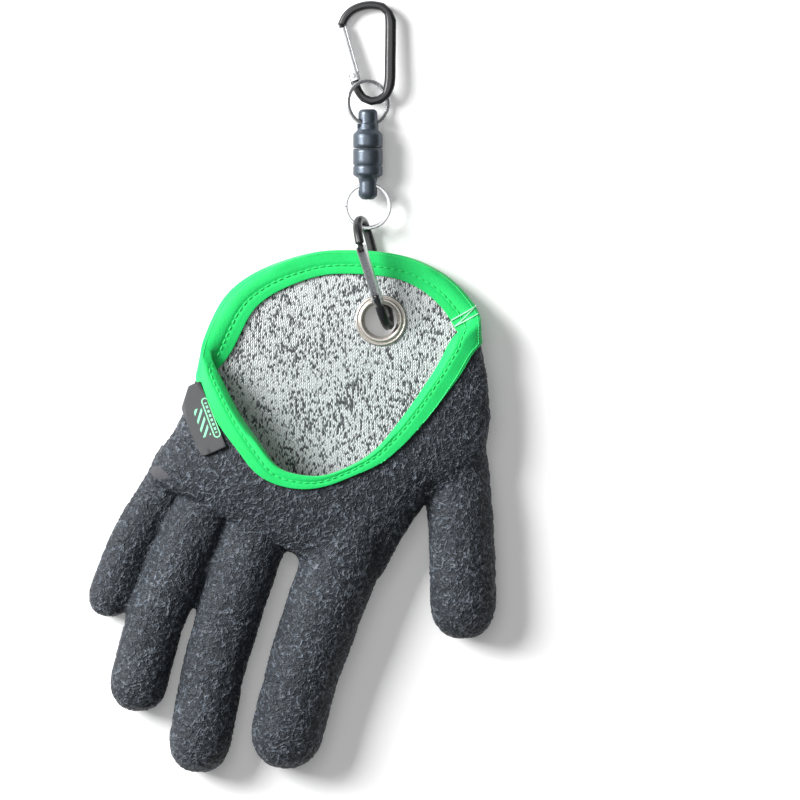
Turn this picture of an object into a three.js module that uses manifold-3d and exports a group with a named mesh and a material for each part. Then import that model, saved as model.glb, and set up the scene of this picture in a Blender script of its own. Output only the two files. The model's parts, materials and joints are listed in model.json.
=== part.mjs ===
// Coated fishing glove on its magnetic release lanyard, lying flat on its palm.
// Millimetres, +Z up. The long side of the cuff is underneath and reaches towards the lanyard,
// so the mouth is an open scoop that shows the knit inside.

import * as THREE from 'three';
import { mergeVertices } from 'three/addons/utils/BufferGeometryUtils.js';
import Module from 'manifold-3d';

const wasm = await Module();
wasm.setup();

// Driving sizes of the glove
const palmWidth = 105;
const palmThickness = 26;
const mouthLength = 98.8;
const gloveTurn = -8;
const coatWall = 1.0;
const knitWall = 1.0;
const clothGap = 0.3;
const fingerReach = 127.4;
const fingerGirth = 27;
const squareness = 0.8;
const mouthColumns = 40;
const tapeSteps = 54;
const fingerSides = 14;
const fingerInsideSides = 8;
const fingerSteps = 8;
const fingerStations = 48;
const tipRings = [0.42, 0.74, 0.93];
const plumpShare = 0.35;
const fingerSink = 0.03;
const leastHalf = 0.3;

// Binding tape round the mouth
const tapeThickness = 0.7;
const tapeOutside = 5;
const tapeInside = 8;

// Side label: a folded tab under the tape
const labelLength = 24;
const labelWidth = 11;
const labelThickness = 1.4;
const labelLean = 5;

// Metal eyelet in the long side
const eyeletHole = 13;
const eyeletFlange = 20.4;
const eyeletMetal = 0.5;
const eyeletSides = 16;
const eyeletAcross = 0.137;
const eyeletAlong = 0.728;

// Snap hooks: one hangs the lanyard, one goes through the eyelet
const hookWidth = 24;
const hangerHookLength = 42;
const eyeletHookLength = 48;
const limbWidth = 3.3;
const spineWidth = 4.3;
const limbThickness = 3.4;
const tangThickness = 2;
const noseTang = 3.3;
const hingeTang = 4.7;
const gateSheet = 0.5;
const gateLap = 2.2;
const rivetShaft = 1.2;
const rivetHead = 2.4;
const runningGap = 0.25;

// Split rings
const ringDiameter = 19;
const ringWire = 1.1;
const ringHeight = 1.6;
const ringSides = 24;

// Magnetic release
const barrelDiameter = 12.2;
const collarDiameter = 8.6;
const nubDiameter = 7.8;
const upperLength = 15.4;
const lowerLength = 20.4;
const eyeBore = 3.7;
const eyeSetback = 5.95;
const magnetDiameter = 8;
const magnetDepth = 1.5;
const faceGap = 0.3;
const barrelSides = 16;

// Colours, roughness and metalness
function finish(color, roughness, metalness) {
  return new THREE.MeshStandardMaterial({ color, roughness, metalness, flatShading: true });
}
const latexFinish = finish(0x2b2e33, 0.75, 0);
const knitFinish = finish(0xb9bfc2, 0.95, 0);
const tapeFinish = finish(0x08e05a, 0.7, 0);
const labelFinish = finish(0x25282c, 0.8, 0);
const nickelFinish = finish(0xb8aea4, 0.3, 1);
const blackFinish = finish(0x17181b, 0.35, 0.7);
const silverFinish = finish(0xc9ccd0, 0.25, 1);
const slateFinish = finish(0x3a424c, 0.4, 0.6);

// Sections of the hand, from the finger roots to past the long lip.
// along: share of mouthLength; left, right: shares of palmWidth; floor, crown: shares of
// palmThickness; slant: how far a section runs back per unit across it
const palmTable = [
  { along: -0.215, left: -0.55, right: 0.26, floor: 0.14, crown: 0.74, slant: -0.33 },
  { along: -0.16, left: -0.62, right: 0.31, floor: 0.01, crown: 0.9, slant: -0.25 },
  { along: -0.07, left: -0.635, right: 0.36, floor: -0.023, crown: 0.98, slant: -0.12 },
  { along: 0.06, left: -0.605, right: 0.45, floor: -0.023, crown: 1, slant: 0 },
  { along: 0.15, left: -0.565, right: 0.58, floor: -0.02, crown: 0.98, slant: 0 },
  { along: 0.24, left: -0.532, right: 0.63, floor: 0, crown: 0.95, slant: 0 },
  { along: 0.4, left: -0.497, right: 0.632, floor: 0.1, crown: 0.87, slant: 0 },
  { along: 0.56, left: -0.486, right: 0.6, floor: 0.22, crown: 0.8, slant: 0 },
  { along: 0.72, left: -0.486, right: 0.545, floor: 0.255, crown: 0.78, slant: 0 },
  { along: 0.87, left: -0.486, right: 0.518, floor: 0.262, crown: 0.78, slant: 0 },
  { along: 1.15, left: -0.486, right: 0.514, floor: 0.268, crown: 0.78, slant: 0 },
];

// Rim of the mouth: around: degrees round a section from its right side, over the top;
// reach: share of mouthLength
const rimTable = [
  { around: -2, reach: 0.765 },
  { around: 12, reach: 0.745 },
  { around: 25, reach: 0.72 },
  { around: 37, reach: 0.675 },
  { around: 47, reach: 0.594 },
  { around: 58, reach: 0.485 },
  { around: 67, reach: 0.36 },
  { around: 73, reach: 0.24 },
  { around: 77, reach: 0.13 },
  { around: 82, reach: 0.062 },
  { around: 90, reach: 0.048 },
  { around: 98, reach: 0.078 },
  { around: 106, reach: 0.123 },
  { around: 116, reach: 0.184 },
  { around: 125, reach: 0.238 },
  { around: 135, reach: 0.305 },
  { around: 146, reach: 0.372 },
  { around: 160, reach: 0.432 },
  { around: 178, reach: 0.485 },
  { around: 194, reach: 0.553 },
  { around: 205, reach: 0.655 },
  { around: 215, reach: 0.74 },
  { around: 228, reach: 0.815 },
  { around: 241, reach: 0.876 },
  { around: 254, reach: 0.93 },
  { around: 265, reach: 0.967 },
  { around: 277, reach: 0.985 },
  { around: 290, reach: 0.983 },
  { around: 304, reach: 0.955 },
  { around: 317, reach: 0.913 },
  { around: 330, reach: 0.862 },
  { around: 344, reach: 0.808 },
];

// Fingers and thumb: across: share of palmWidth and along: share of mouthLength, of the root;
// lean: degrees away from straight at root, middle and tip; reach: share of fingerReach;
// girth: share of fingerGirth at root and tip; plump: height for width at root and onwards
const fingerTable = [
  {
    across: -0.515, along: 0.06, lean: [27, 19, 5], reach: 0.56, girth: [0.7, 0.64], plump: [0.85, 0.85],
  },
  {
    across: -0.34, along: 0.08, lean: [16, 15, -4], reach: 0.85, girth: [0.93, 0.87], plump: [0.84, 0.84],
  },
  {
    across: -0.14, along: 0.08, lean: [11, 9, -5], reach: 1, girth: [1.03, 0.93], plump: [0.84, 0.84],
  },
  {
    across: 0.215, along: 0.08, lean: [11, 11.5, 0], reach: 0.955, girth: [1.24, 1.06], plump: [0.74, 0.8],
  },
  {
    across: 0.476, along: 0.354, lean: [-19, -11, -8], reach: 0.687, girth: [1, 1], plump: [0.62, 0.78],
  },
];

// Centreline of a snap hook, from the nose round the wide bow, down the spine and round the
// narrow bow to the hinge. across and along: shares of the hook's width and length
const hookTable = [
  { across: -0.41, along: 0.19 },
  { across: -0.41, along: 0.285 },
  { across: -0.3, along: 0.39 },
  { across: -0.1, along: 0.448 },
  { across: 0.117, along: 0.461 },
  { across: 0.3, along: 0.43 },
  { across: 0.4, along: 0.35 },
  { across: 0.405, along: 0.19 },
  { across: 0.39, along: -0.1 },
  { across: 0.375, along: -0.305 },
  { across: 0.32, along: -0.4 },
  { across: 0.2, along: -0.452 },
  { across: 0.05, along: -0.461 },
  { across: -0.09, along: -0.42 },
  { across: -0.17, along: -0.35 },
  { across: -0.21, along: -0.27 },
  { across: -0.25, along: -0.18 },
];

const radians = THREE.MathUtils.degToRad;

// Smooth value between the rows of a table
function between(rows, place, column, at) {
  const last = rows.length - 1;
  let row = 0;
  while (row < last - 1 && at > rows[row + 1][place]) row += 1;
  const a = rows[row];
  const b = rows[row + 1];
  const span = b[place] - a[place];
  const t = THREE.MathUtils.clamp((at - a[place]) / span, 0, 1);
  const before = rows[Math.max(row - 1, 0)];
  const after = rows[Math.min(row + 2, last)];
  const slopeA = ((b[column] - before[column]) / (b[place] - before[place])) * span;
  const slopeB = ((after[column] - a[column]) / (after[place] - a[place])) * span;
  const t2 = t * t;
  const t3 = t2 * t;
  return a[column] * (2 * t3 - 3 * t2 + 1) + slopeA * (t3 - 2 * t2 + t)
    + b[column] * (3 * t2 - 2 * t3) + slopeB * (t3 - t2);
}

// A place on the rim, from 0 to 1 round it: the angle and how far along
const turn = 360;
function rimPlace(share) {
  const count = rimTable.length;
  const at = (((share % 1) + 1) % 1) * count;
  const row = Math.floor(at);
  const t = at - row;
  const value = (i, key) => {
    const laps = Math.floor(i / count);
    const wrap = key === 'around' ? laps * turn : 0;
    return rimTable[i - laps * count][key] + wrap;
  };
  const smooth = (key) => {
    const [a, b, c, d] = [-1, 0, 1, 2].map((step) => value(row + step, key));
    return b + 0.5 * t * (c - a + t * (2 * a - 5 * b + 4 * c - d + t * (3 * (b - c) + d - a)));
  };
  return { around: smooth('around'), along: smooth('reach') * mouthLength };
}

function signedPower(value) {
  return Math.sign(value) * Math.abs(value) ** squareness;
}

// One section of the hand at a place along it
function palmSection(along) {
  const share = along / mouthLength;
  const left = between(palmTable, 'along', 'left', share) * palmWidth;
  const right = between(palmTable, 'along', 'right', share) * palmWidth;
  const floor = between(palmTable, 'along', 'floor', share) * palmThickness;
  const crown = between(palmTable, 'along', 'crown', share) * palmThickness;
  return {
    middle: (left + right) / 2,
    half: (right - left) / 2,
    height: (floor + crown) / 2,
    rise: (crown - floor) / 2,
    slant: between(palmTable, 'along', 'slant', share),
  };
}

// The sections that the hand is lofted through, and the surface between them
const loftRows = palmTable.map((row) => row.along * mouthLength);
const palmEnd = loftRows.at(-1);
const cuffRows = loftRows.slice(3);
const loftSections = loftRows.map(palmSection);

function lerpSection(along) {
  let row = 0;
  while (row < loftRows.length - 2 && along > loftRows[row + 1]) row += 1;
  const t = (along - loftRows[row]) / (loftRows[row + 1] - loftRows[row]);
  const mixed = {};
  for (const key of Object.keys(loftSections[row])) {
    mixed[key] = THREE.MathUtils.lerp(loftSections[row][key], loftSections[row + 1][key], t);
  }
  return mixed;
}

// A point on the hand's wall: inset goes inwards from the outer skin, and nothing dips below
// the surface that the glove lies on
function onPalm(degrees, along, inset, section = lerpSection(along)) {
  const angle = radians(degrees);
  const across = (section.half - inset) * signedPower(Math.cos(angle));
  const up = section.height + (section.rise - inset) * signedPower(Math.sin(angle));
  return new THREE.Vector3(
    section.middle + across,
    along + section.slant * across,
    Math.max(up, inset),
  );
}

// Closed body through rings of equally many points
function loft(rings, closed = false) {
  const count = rings[0].length;
  const points = rings.flat();
  const index = [];
  const spans = closed ? rings.length : rings.length - 1;
  for (let r = 0; r < spans; r += 1) {
    const here = r * count;
    const next = ((r + 1) % rings.length) * count;
    for (let i = 0; i < count; i += 1) {
      const j = (i + 1) % count;
      index.push(here + i, here + j, next + j, here + i, next + j, next + i);
    }
  }
  if (!closed) {
    for (const [ring, first, back] of [[rings[0], 0, true], [rings.at(-1), points.length - count, false]]) {
      const centre = new THREE.Vector3();
      for (const point of ring) centre.add(point);
      points.push(centre.divideScalar(count));
      for (let i = 0; i < count; i += 1) {
        const pair = [first + i, first + ((i + 1) % count)];
        if (back) pair.reverse();
        index.push(points.length - 1, ...pair);
      }
    }
  }
  const geometry = new THREE.BufferGeometry().setFromPoints(points);
  geometry.setIndex(index);
  return facingOut(geometry);
}

// Turns a body's faces outwards
function facingOut(geometry) {
  const { position } = geometry.attributes;
  const index = geometry.index.array;
  const [a, b, c] = [0, 0, 0].map(() => new THREE.Vector3());
  let volume = 0;
  for (let i = 0; i < index.length; i += 3) {
    a.fromBufferAttribute(position, index[i]);
    b.fromBufferAttribute(position, index[i + 1]);
    c.fromBufferAttribute(position, index[i + 2]);
    volume += a.dot(b.cross(c));
  }
  if (volume < 0) {
    const turned = Array.from(index);
    for (let i = 0; i < turned.length; i += 3) {
      [turned[i + 1], turned[i + 2]] = [turned[i + 2], turned[i + 1]];
    }
    geometry.setIndex(turned);
  }
  return geometry;
}

// Joining and cutting
const mergeDistance = 1e-4;
function solid(geometry) {
  const bare = geometry.clone();
  bare.deleteAttribute('normal');
  bare.deleteAttribute('uv');
  const merged = mergeVertices(bare, mergeDistance);
  return new wasm.Manifold(new wasm.Mesh({
    numProp: 3,
    vertProperties: merged.attributes.position.array,
    triVerts: new Uint32Array(merged.index.array),
  }));
}

function skin(manifold) {
  const mesh = manifold.getMesh();
  const geometry = new THREE.BufferGeometry();
  geometry.setAttribute('position', new THREE.BufferAttribute(mesh.vertProperties, 3));
  geometry.setIndex(new THREE.BufferAttribute(mesh.triVerts, 1));
  return geometry;
}

// Hand and fingers as plain solids at any inset
function columnAngles(shift = 0) {
  return Array.from({ length: mouthColumns }, (_, i) => ((i + shift) * turn) / mouthColumns);
}

function handSolid(inset, rows = loftRows) {
  const ends = rows === loftRows ? inset : 0;
  const rings = rows.map((along, i) => {
    const shifted = i === 0 ? along + ends : along;
    const section = lerpSection(shifted);
    return columnAngles().map((degrees) => onPalm(degrees, shifted, inset, section));
  });
  return solid(loft(rings));
}

// Heading along a finger, from its three leans
function leanAt(lean, t) {
  const [root, middle, tip] = lean;
  return root * (1 - t) * (1 - 2 * t) + middle * 4 * t * (1 - t) + tip * t * (2 * t - 1);
}

function fingerSolid(finger, inset) {
  const sides = inset > 0 ? fingerInsideSides : fingerSides;
  const length = finger.reach * fingerReach;
  const path = [new THREE.Vector2(finger.across * palmWidth, finger.along * mouthLength)];
  for (let i = 0; i < fingerStations; i += 1) {
    const heading = radians(leanAt(finger.lean, (i + 0.5) / fingerStations));
    const step = new THREE.Vector2(-Math.sin(heading), -Math.cos(heading));
    path.push(path.at(-1).clone().addScaledVector(step, length / fingerStations));
  }
  const tipWidth = finger.girth[1] * fingerGirth;
  const tipShare = (0.5 * tipWidth) / length;
  const straight = fingerSteps - tipRings.length;
  const places = [
    ...Array.from({ length: straight }, (_, i) => ((1 - tipShare) * i) / (straight - 1)),
    ...tipRings.map((t) => 1 - tipShare + tipShare * t),
  ];
  const rings = places.map((t) => {
    const overTip = Math.max(0, (t - 1 + tipShare) / tipShare);
    const round = Math.sqrt(1 - overTip * overTip);
    const width = THREE.MathUtils.lerp(finger.girth[0], finger.girth[1], t) * fingerGirth;
    const pulled = t === places.at(-1) ? t - inset / length : t;
    const at = Math.min(pulled, 1) * fingerStations;
    const base = Math.min(Math.floor(at), fingerStations - 1);
    const centre = path[base].clone().lerp(path[base + 1], at - base);
    const heading = radians(leanAt(finger.lean, pulled));
    const half = Math.max((width / 2) * round - inset, leastHalf);
    const plump = THREE.MathUtils.lerp(...finger.plump, Math.min(t / plumpShare, 1));
    const rise = Math.max(((plump * width) / 2) * round - inset, leastHalf);
    const height = (plump * width) / 2 - palmThickness * fingerSink;
    return Array.from({ length: sides }, (_, i) => {
      const angle = radians((i * turn) / sides);
      const across = half * Math.cos(angle);
      return new THREE.Vector3(
        centre.x + across * Math.cos(heading),
        centre.y - across * Math.sin(heading),
        Math.max(height + rise * Math.sin(angle), inset),
      );
    });
  });
  return solid(loft(rings));
}

// Everything past a band's edge: a thick washer that follows the rim
const cutOutside = palmThickness / 2;
const cutInside = 2 * (coatWall + knitWall);
const cutCore = 0.12;
function beyondRim(offset) {
  const top = palmEnd + palmWidth;
  const rings = Array.from({ length: tapeSteps }, (_, i) => {
    const place = rimPlace((i + 0.5) / tapeSteps);
    const along = place.along + offset;
    const section = lerpSection(along);
    const angle = radians(place.around);
    const ray = (half, rise) => {
      const across = half * signedPower(Math.cos(angle));
      return new THREE.Vector3(
        section.middle + across,
        along + section.slant * across,
        section.height + rise * signedPower(Math.sin(angle)),
      );
    };
    const outer = ray(section.half + cutOutside, section.rise + cutOutside);
    const inner = ray(section.half - cutInside, section.rise - cutInside);
    const core = ray(section.half * cutCore, section.rise * cutCore);
    return [outer, outer.clone().setY(top), core.clone().setY(top), core, inner];
  });
  return solid(loft(rings, true));
}

// Coat and knit lining
const liningInset = coatWall + clothGap;
const insideInset = liningInset + knitWall;

let coatOutside = handSolid(0);
let coatInside = handSolid(coatWall);
for (const finger of fingerTable) {
  coatOutside = coatOutside.add(fingerSolid(finger, 0));
  coatInside = coatInside.add(fingerSolid(finger, insideInset));
}
const pastRim = beyondRim(0);

// The lining starts at the finger roots; the thumb opens through it
const knitStart = -0.06 * mouthLength;
const knitRows = [knitStart, ...cuffRows];
const knitThroughRows = [knitStart - clothGap, ...cuffRows.slice(0, -1), palmEnd + clothGap];
const thumbRoom = fingerSolid(fingerTable.at(-1), insideInset);

// Eyelet: where it sits and how the cloth leans there
const eyeletV = eyeletAlong * mouthLength;
const eyeletX = eyeletAcross * palmWidth + lerpSection(eyeletV).middle;
function panelHeight(x, along, inset) {
  const section = lerpSection(along);
  const share = Math.abs((x - section.middle) / (section.half - inset));
  const drop = (1 - share ** (2 / squareness)) ** (squareness / 2);
  return section.height - (section.rise - inset) * drop;
}
const panelMiddle = insideInset / 2;
const probe = eyeletFlange / 2;
const eyeletPlace = new THREE.Vector3(eyeletX, eyeletV, panelHeight(eyeletX, eyeletV, panelMiddle));
const eyeletNormal = new THREE.Vector3(
  panelHeight(eyeletX - probe, eyeletV, panelMiddle) - panelHeight(eyeletX + probe, eyeletV, panelMiddle),
  panelHeight(eyeletX, eyeletV - probe, panelMiddle) - panelHeight(eyeletX, eyeletV + probe, panelMiddle),
  2 * probe,
).normalize();
const eyeletTilt = new THREE.Quaternion().setFromUnitVectors(new THREE.Vector3(0, 0, 1), eyeletNormal);

const barrelRadius = eyeletHole / 2 + eyeletMetal;
const cutDepth = palmThickness / 3;
function eyeletCut() {
  const radius = barrelRadius + clothGap;
  const cut = new THREE.CylinderGeometry(radius, radius, cutDepth, eyeletSides);
  cut.rotateX(Math.PI / 2);
  cut.applyQuaternion(eyeletTilt);
  cut.translate(eyeletPlace.x, eyeletPlace.y, eyeletPlace.z);
  return solid(cut);
}
const clothHole = eyeletCut();

const coatShape = coatOutside.subtract(coatInside).subtract(pastRim).subtract(clothHole);
const knitShape = handSolid(liningInset, knitRows)
  .subtract(handSolid(insideInset, knitThroughRows))
  .subtract(pastRim)
  .subtract(thumbRoom)
  .subtract(clothHole);

// Binding tape: a folded strip that straddles both cloths. A fold point lies so far in from the
// skin and so far back from the rim, walked in small steps square to the rim over the cloth
const smallTurn = 0.25;
const smallStep = 0.25;
const walkStep = 0.5;
const shareStep = 0.002;
function overCloth(place) {
  const at = (around, along) => onPalm(around, along, insideInset / 2);
  const here = at(place.around, place.along);
  const round = at(place.around + smallTurn, place.along).sub(here).divideScalar(smallTurn);
  const down = here.clone().sub(at(place.around, place.along - smallStep)).divideScalar(smallStep);
  return { round, down };
}

function walkBack(share, back) {
  const spot = rimPlace(share);
  const next = rimPlace(share + shareStep);
  const last = rimPlace(share - shareStep);
  const start = overCloth(spot);
  let lap = next.around - last.around;
  if (lap < -turn / 2) lap += turn;
  const rise = next.along - last.along;
  const across = lap * start.round.length();
  const size = Math.hypot(across, rise);
  const steps = Math.ceil(Math.abs(back) / walkStep);
  for (let i = 0; i < steps; i += 1) {
    const { round, down } = overCloth(spot);
    spot.around += ((rise / size) * back) / steps / round.length();
    spot.along -= ((across / size) * back) / steps / down.length();
  }
  return spot;
}

const foldGap = 1.75 * clothGap;
const noseGap = 1.7 * foldGap;
const outsideBends = 3;
const insideBends = 2;
function tapeLoft() {
  const outer = -foldGap - tapeThickness;
  const inner = insideInset + foldGap;
  const leg = (inset, from, to, bends) => Array.from({ length: bends + 1 }, (_, i) => (
    [inset, from + ((to - from) * i) / bends]
  ));
  const fold = [
    ...leg(outer, -noseGap - tapeThickness, tapeOutside, outsideBends),
    ...leg(-foldGap, tapeOutside, -noseGap, outsideBends),
    ...leg(inner, -noseGap, tapeInside, insideBends),
    ...leg(inner + tapeThickness, tapeInside, -noseGap - tapeThickness, insideBends),
  ];
  return loft(Array.from({ length: tapeSteps }, (_, i) => fold.map(([inset, back]) => {
    const spot = walkBack(i / tapeSteps, back);
    return onPalm(spot.around, spot.along, inset);
  })), true);
}

// Side label, cut to lie on the coat beside the tape
const labelAngle = 141;
const labelAlong = 0.266;
const labelTurn = 33;
const roundCorner = 3;
const labelProbe = 1;
function labelShape() {
  const outline = new THREE.Shape();
  outline.moveTo(0, -labelLength / 2);
  outline.lineTo(-labelWidth + roundCorner, -labelLength / 2);
  outline.quadraticCurveTo(-labelWidth, -labelLength / 2, -labelWidth, -labelLength / 2 + roundCorner);
  outline.lineTo(-labelWidth, labelLength / 2 - 2 * roundCorner);
  outline.lineTo(-labelWidth + 2 * roundCorner, labelLength / 2);
  outline.lineTo(0, labelLength / 2);
  const plate = new THREE.ExtrudeGeometry(outline, {
    depth: labelThickness, bevelEnabled: false, curveSegments: 3,
  });
  const seat = onPalm(labelAngle, labelAlong * mouthLength, -clothGap);
  const around = onPalm(labelAngle + labelProbe, labelAlong * mouthLength, -clothGap).sub(seat);
  const onward = onPalm(labelAngle, labelAlong * mouthLength + labelProbe, -clothGap).sub(seat);
  const out = onward.cross(around).normalize();
  const run = new THREE.Vector3(-Math.sin(radians(labelTurn)), Math.cos(radians(labelTurn)), 0);
  run.addScaledVector(out, -run.dot(out)).normalize();
  plate.rotateY(radians(labelLean));
  plate.applyMatrix4(new THREE.Matrix4().makeBasis(run.clone().cross(out), run, out));
  plate.translate(seat.x, seat.y, seat.z);
  return plate;
}
const tapeClear = 1.6 * tapeOutside;
const tapeZone = handSolid(-2 * foldGap - tapeThickness, cuffRows).intersect(beyondRim(-tapeClear));
const labelSolid = solid(labelShape())
  .subtract(handSolid(-clothGap))
  .subtract(tapeZone);

// Eyelet pieces, on their own axis
function lathe(profile, sides) {
  const points = [...profile, profile[0]].map(([radius, height]) => new THREE.Vector2(radius, height));
  const geometry = new THREE.LatheGeometry(points, sides);
  geometry.rotateX(Math.PI / 2);
  geometry.deleteAttribute('normal');
  geometry.deleteAttribute('uv');
  return facingOut(mergeVertices(geometry, mergeDistance));
}

const clothHalf = insideInset / 2 + clothGap;
const lipWidth = 1.3;
const flangeCrown = 2.4 * eyeletMetal;
const flangeEdge = 1.6 * eyeletMetal;
const washerLow = -clothHalf - eyeletMetal;
const lipTop = washerLow - runningGap;
const flangeProfile = [
  [eyeletHole / 2, clothHalf + flangeEdge],
  [eyeletHole / 2, lipTop - eyeletMetal],
  [barrelRadius + lipWidth, lipTop - eyeletMetal],
  [barrelRadius + lipWidth, lipTop],
  [barrelRadius, lipTop],
  [barrelRadius, clothHalf],
  [eyeletFlange / 2, clothHalf],
  [eyeletFlange / 2, clothHalf + eyeletMetal],
  [(eyeletFlange + eyeletHole) / 4 + eyeletMetal, clothHalf + flangeCrown],
  [eyeletHole / 2 + eyeletMetal, clothHalf + flangeCrown],
];
const washerProfile = [
  [barrelRadius + runningGap, -clothHalf],
  [eyeletFlange / 2, -clothHalf],
  [eyeletFlange / 2, washerLow],
  [barrelRadius + runningGap, washerLow],
];

// Snap hook body: a bent bar whose two ends are thinned to tangs
const hookSteps = 23;
const boreSides = 8;
const spineEnds = 0.36;
const hookChamfer = 0.28;
function hookCurve(length) {
  return new THREE.CatmullRomCurve3(hookTable.map((row) => (
    new THREE.Vector3(row.across * hookWidth, row.along * length, 0)
  )), false, 'centripetal');
}

function hookBody(length) {
  const curve = hookCurve(length);
  const total = curve.getLength();
  const edge = runningGap / total;
  const noseEnd = noseTang / total;
  const hingeStart = 1 - hingeTang / total;
  const first = noseEnd + edge;
  const inner = Array.from({ length: hookSteps }, (_, i) => (
    first + ((hingeStart - edge - first) * i) / (hookSteps - 1)
  ));
  const places = [0, noseEnd, ...inner, hingeStart, 1];
  const rings = places.map((t) => {
    const centre = curve.getPointAt(t);
    const tangent = curve.getTangentAt(t);
    const side = new THREE.Vector3(tangent.y, -tangent.x, 0);
    const tang = t <= noseEnd || t >= hingeStart;
    const onSpine = centre.x > 0 && Math.abs(centre.y) < spineEnds * length;
    const barWidth = onSpine ? spineWidth : limbWidth;
    const width = t <= noseEnd ? tangThickness : barWidth;
    const depth = tang ? tangThickness : limbThickness;
    const low = 0.5 - hookChamfer;
    const corners = [[1, low], [0.5, 0.5], [-0.5, 0.5], [-1, low],
      [-1, -low], [-0.5, -0.5], [0.5, -0.5], [1, -low]];
    return corners.map(([across, up]) => (
      centre.clone().addScaledVector(side, (across * width) / 2).setZ(up * depth)
    ));
  });
  const pivot = hookPivot(length);
  return skin(solid(loft(rings)).subtract(rivetBore().translate(pivot.x, pivot.y, 0)));
}

function rivetBore() {
  const radius = rivetShaft / 2 + runningGap;
  const bore = new THREE.CylinderGeometry(radius, radius, 2 * limbThickness, boreSides);
  bore.rotateX(Math.PI / 2);
  return solid(bore);
}

// The gate turns about a pivot that lies half a limb back from the hinge end
function hookPivot(length) {
  const curve = hookCurve(length);
  return curve.getPointAt(1 - limbWidth / 2 / curve.getLength());
}

function gateFrame(length) {
  const pivot = hookPivot(length);
  const nose = hookCurve(length).getPointAt(0);
  const reach = nose.clone().sub(pivot);
  return { pivot, length: reach.length(), angle: Math.atan2(-reach.x, reach.y) };
}

// Gate: a folded channel, open outwards, whose web starts above the hinge
const webFoot = 1;
function hookGate(length) {
  const frame = gateFrame(length);
  const webInside = limbWidth / 2 + runningGap;
  const webOutside = webInside + gateSheet;
  const openEdge = -limbWidth / 2 + gateSheet / 2;
  const end = frame.length + gateLap;
  const foot = -limbWidth / 2 - runningGap;
  const profile = new THREE.Shape();
  profile.moveTo(openEdge, foot);
  profile.lineTo(webInside - runningGap, foot);
  profile.lineTo(webOutside, webFoot);
  profile.lineTo(webOutside, end);
  profile.lineTo(openEdge + gateSheet, end);
  profile.lineTo(openEdge, end - gateLap / 2);
  const block = new THREE.ExtrudeGeometry(profile, { depth: limbThickness, bevelEnabled: false });
  block.translate(0, 0, -limbThickness / 2);
  const channel = new THREE.BoxGeometry(webInside + limbWidth, end * 2, limbThickness - 2 * gateSheet);
  channel.translate((webInside - limbWidth) / 2, end / 2, 0);
  const hingeRoom = new THREE.BoxGeometry(hookWidth, limbWidth, limbThickness - 2 * gateSheet);
  hingeRoom.translate(0, webFoot - limbWidth / 2, 0);
  const gate = solid(block).subtract(solid(channel)).subtract(solid(hingeRoom)).subtract(rivetBore());
  const geometry = skin(gate);
  geometry.rotateZ(frame.angle);
  geometry.translate(frame.pivot.x, frame.pivot.y, 0);
  return geometry;
}

// Rivet: shaft with a head on each side
const rivetGap = 0.15;
const rivetCrown = 0.4;
const rivetRound = 0.3;
const rivetSides = 10;
function hookRivet(length) {
  const face = limbThickness / 2 + rivetGap;
  const crown = face + rivetCrown;
  const flat = rivetHead / 2 - rivetRound;
  const geometry = lathe([
    [0, crown], [flat, crown], [rivetHead / 2, face], [rivetShaft / 2, face],
    [rivetShaft / 2, -face], [rivetHead / 2, -face], [flat, -crown], [0, -crown],
  ], rivetSides);
  const { pivot } = gateFrame(length);
  geometry.translate(pivot.x, pivot.y, 0);
  return geometry;
}

// Split ring: flat wire, in its own plane
const ringMiddle = ringDiameter / 2 - ringWire / 2;
const ringEdge = 0.3 * ringHeight;
function splitRing() {
  const outer = ringDiameter / 2;
  const inner = outer - ringWire;
  return lathe([
    [outer, ringEdge], [ringMiddle, ringHeight / 2], [inner, ringEdge],
    [inner, -ringEdge], [ringMiddle, -ringHeight / 2], [outer, -ringEdge],
  ], ringSides);
}

// Release halves: turned along Y with the parting face at y = 0
const magnetSides = 14;
const eyeSides = 12;
function releaseHalf(profile, eyeAt, eyeRoll) {
  const turned = lathe(profile, barrelSides);
  turned.rotateX(-Math.PI / 2);
  const bore = new THREE.CylinderGeometry(eyeBore / 2, eyeBore / 2, barrelDiameter * 2, eyeSides);
  bore.rotateZ(Math.PI / 2);
  bore.rotateY(eyeRoll);
  bore.translate(0, eyeAt, 0);
  const pocketRadius = magnetDiameter / 2 + runningGap;
  const pocket = new THREE.CylinderGeometry(pocketRadius, pocketRadius, 2 * magnetDepth, magnetSides);
  return skin(solid(turned).subtract(solid(bore)).subtract(solid(pocket)));
}

const upperNub = 5.8;
const collarLength = 2.4;
const shoulderFall = 1.8;
const tipRound = 1;
function upperProfile() {
  const tip = upperLength;
  const collar = tip - upperNub;
  const shoulder = collar - collarLength;
  return [
    [0, tip], [nubDiameter / 2 - tipRound, tip], [nubDiameter / 2, tip - tipRound],
    [nubDiameter / 2, collar], [collarDiameter / 2, collar], [collarDiameter / 2, shoulder],
    [barrelDiameter / 2, shoulder - shoulderFall], [barrelDiameter / 2, 0], [0, 0],
  ];
}

const lowerNub = 8.4;
const lowerFall = 1.4;
const grooveBack = 13.6;
const grooveDepth = 0.5;
const lowerRound = 1.5;
function lowerProfile() {
  const tip = -lowerLength;
  const nub = tip + lowerNub;
  const groove = tip + grooveBack;
  return [
    [0, 0], [barrelDiameter / 2, 0], [barrelDiameter / 2, groove + grooveDepth],
    [barrelDiameter / 2 - grooveDepth, groove], [barrelDiameter / 2, groove - grooveDepth],
    [barrelDiameter / 2, nub + lowerFall], [nubDiameter / 2, nub],
    [nubDiameter / 2, tip + lowerRound], [nubDiameter / 2 - lowerRound, tip], [0, tip],
  ];
}

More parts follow.
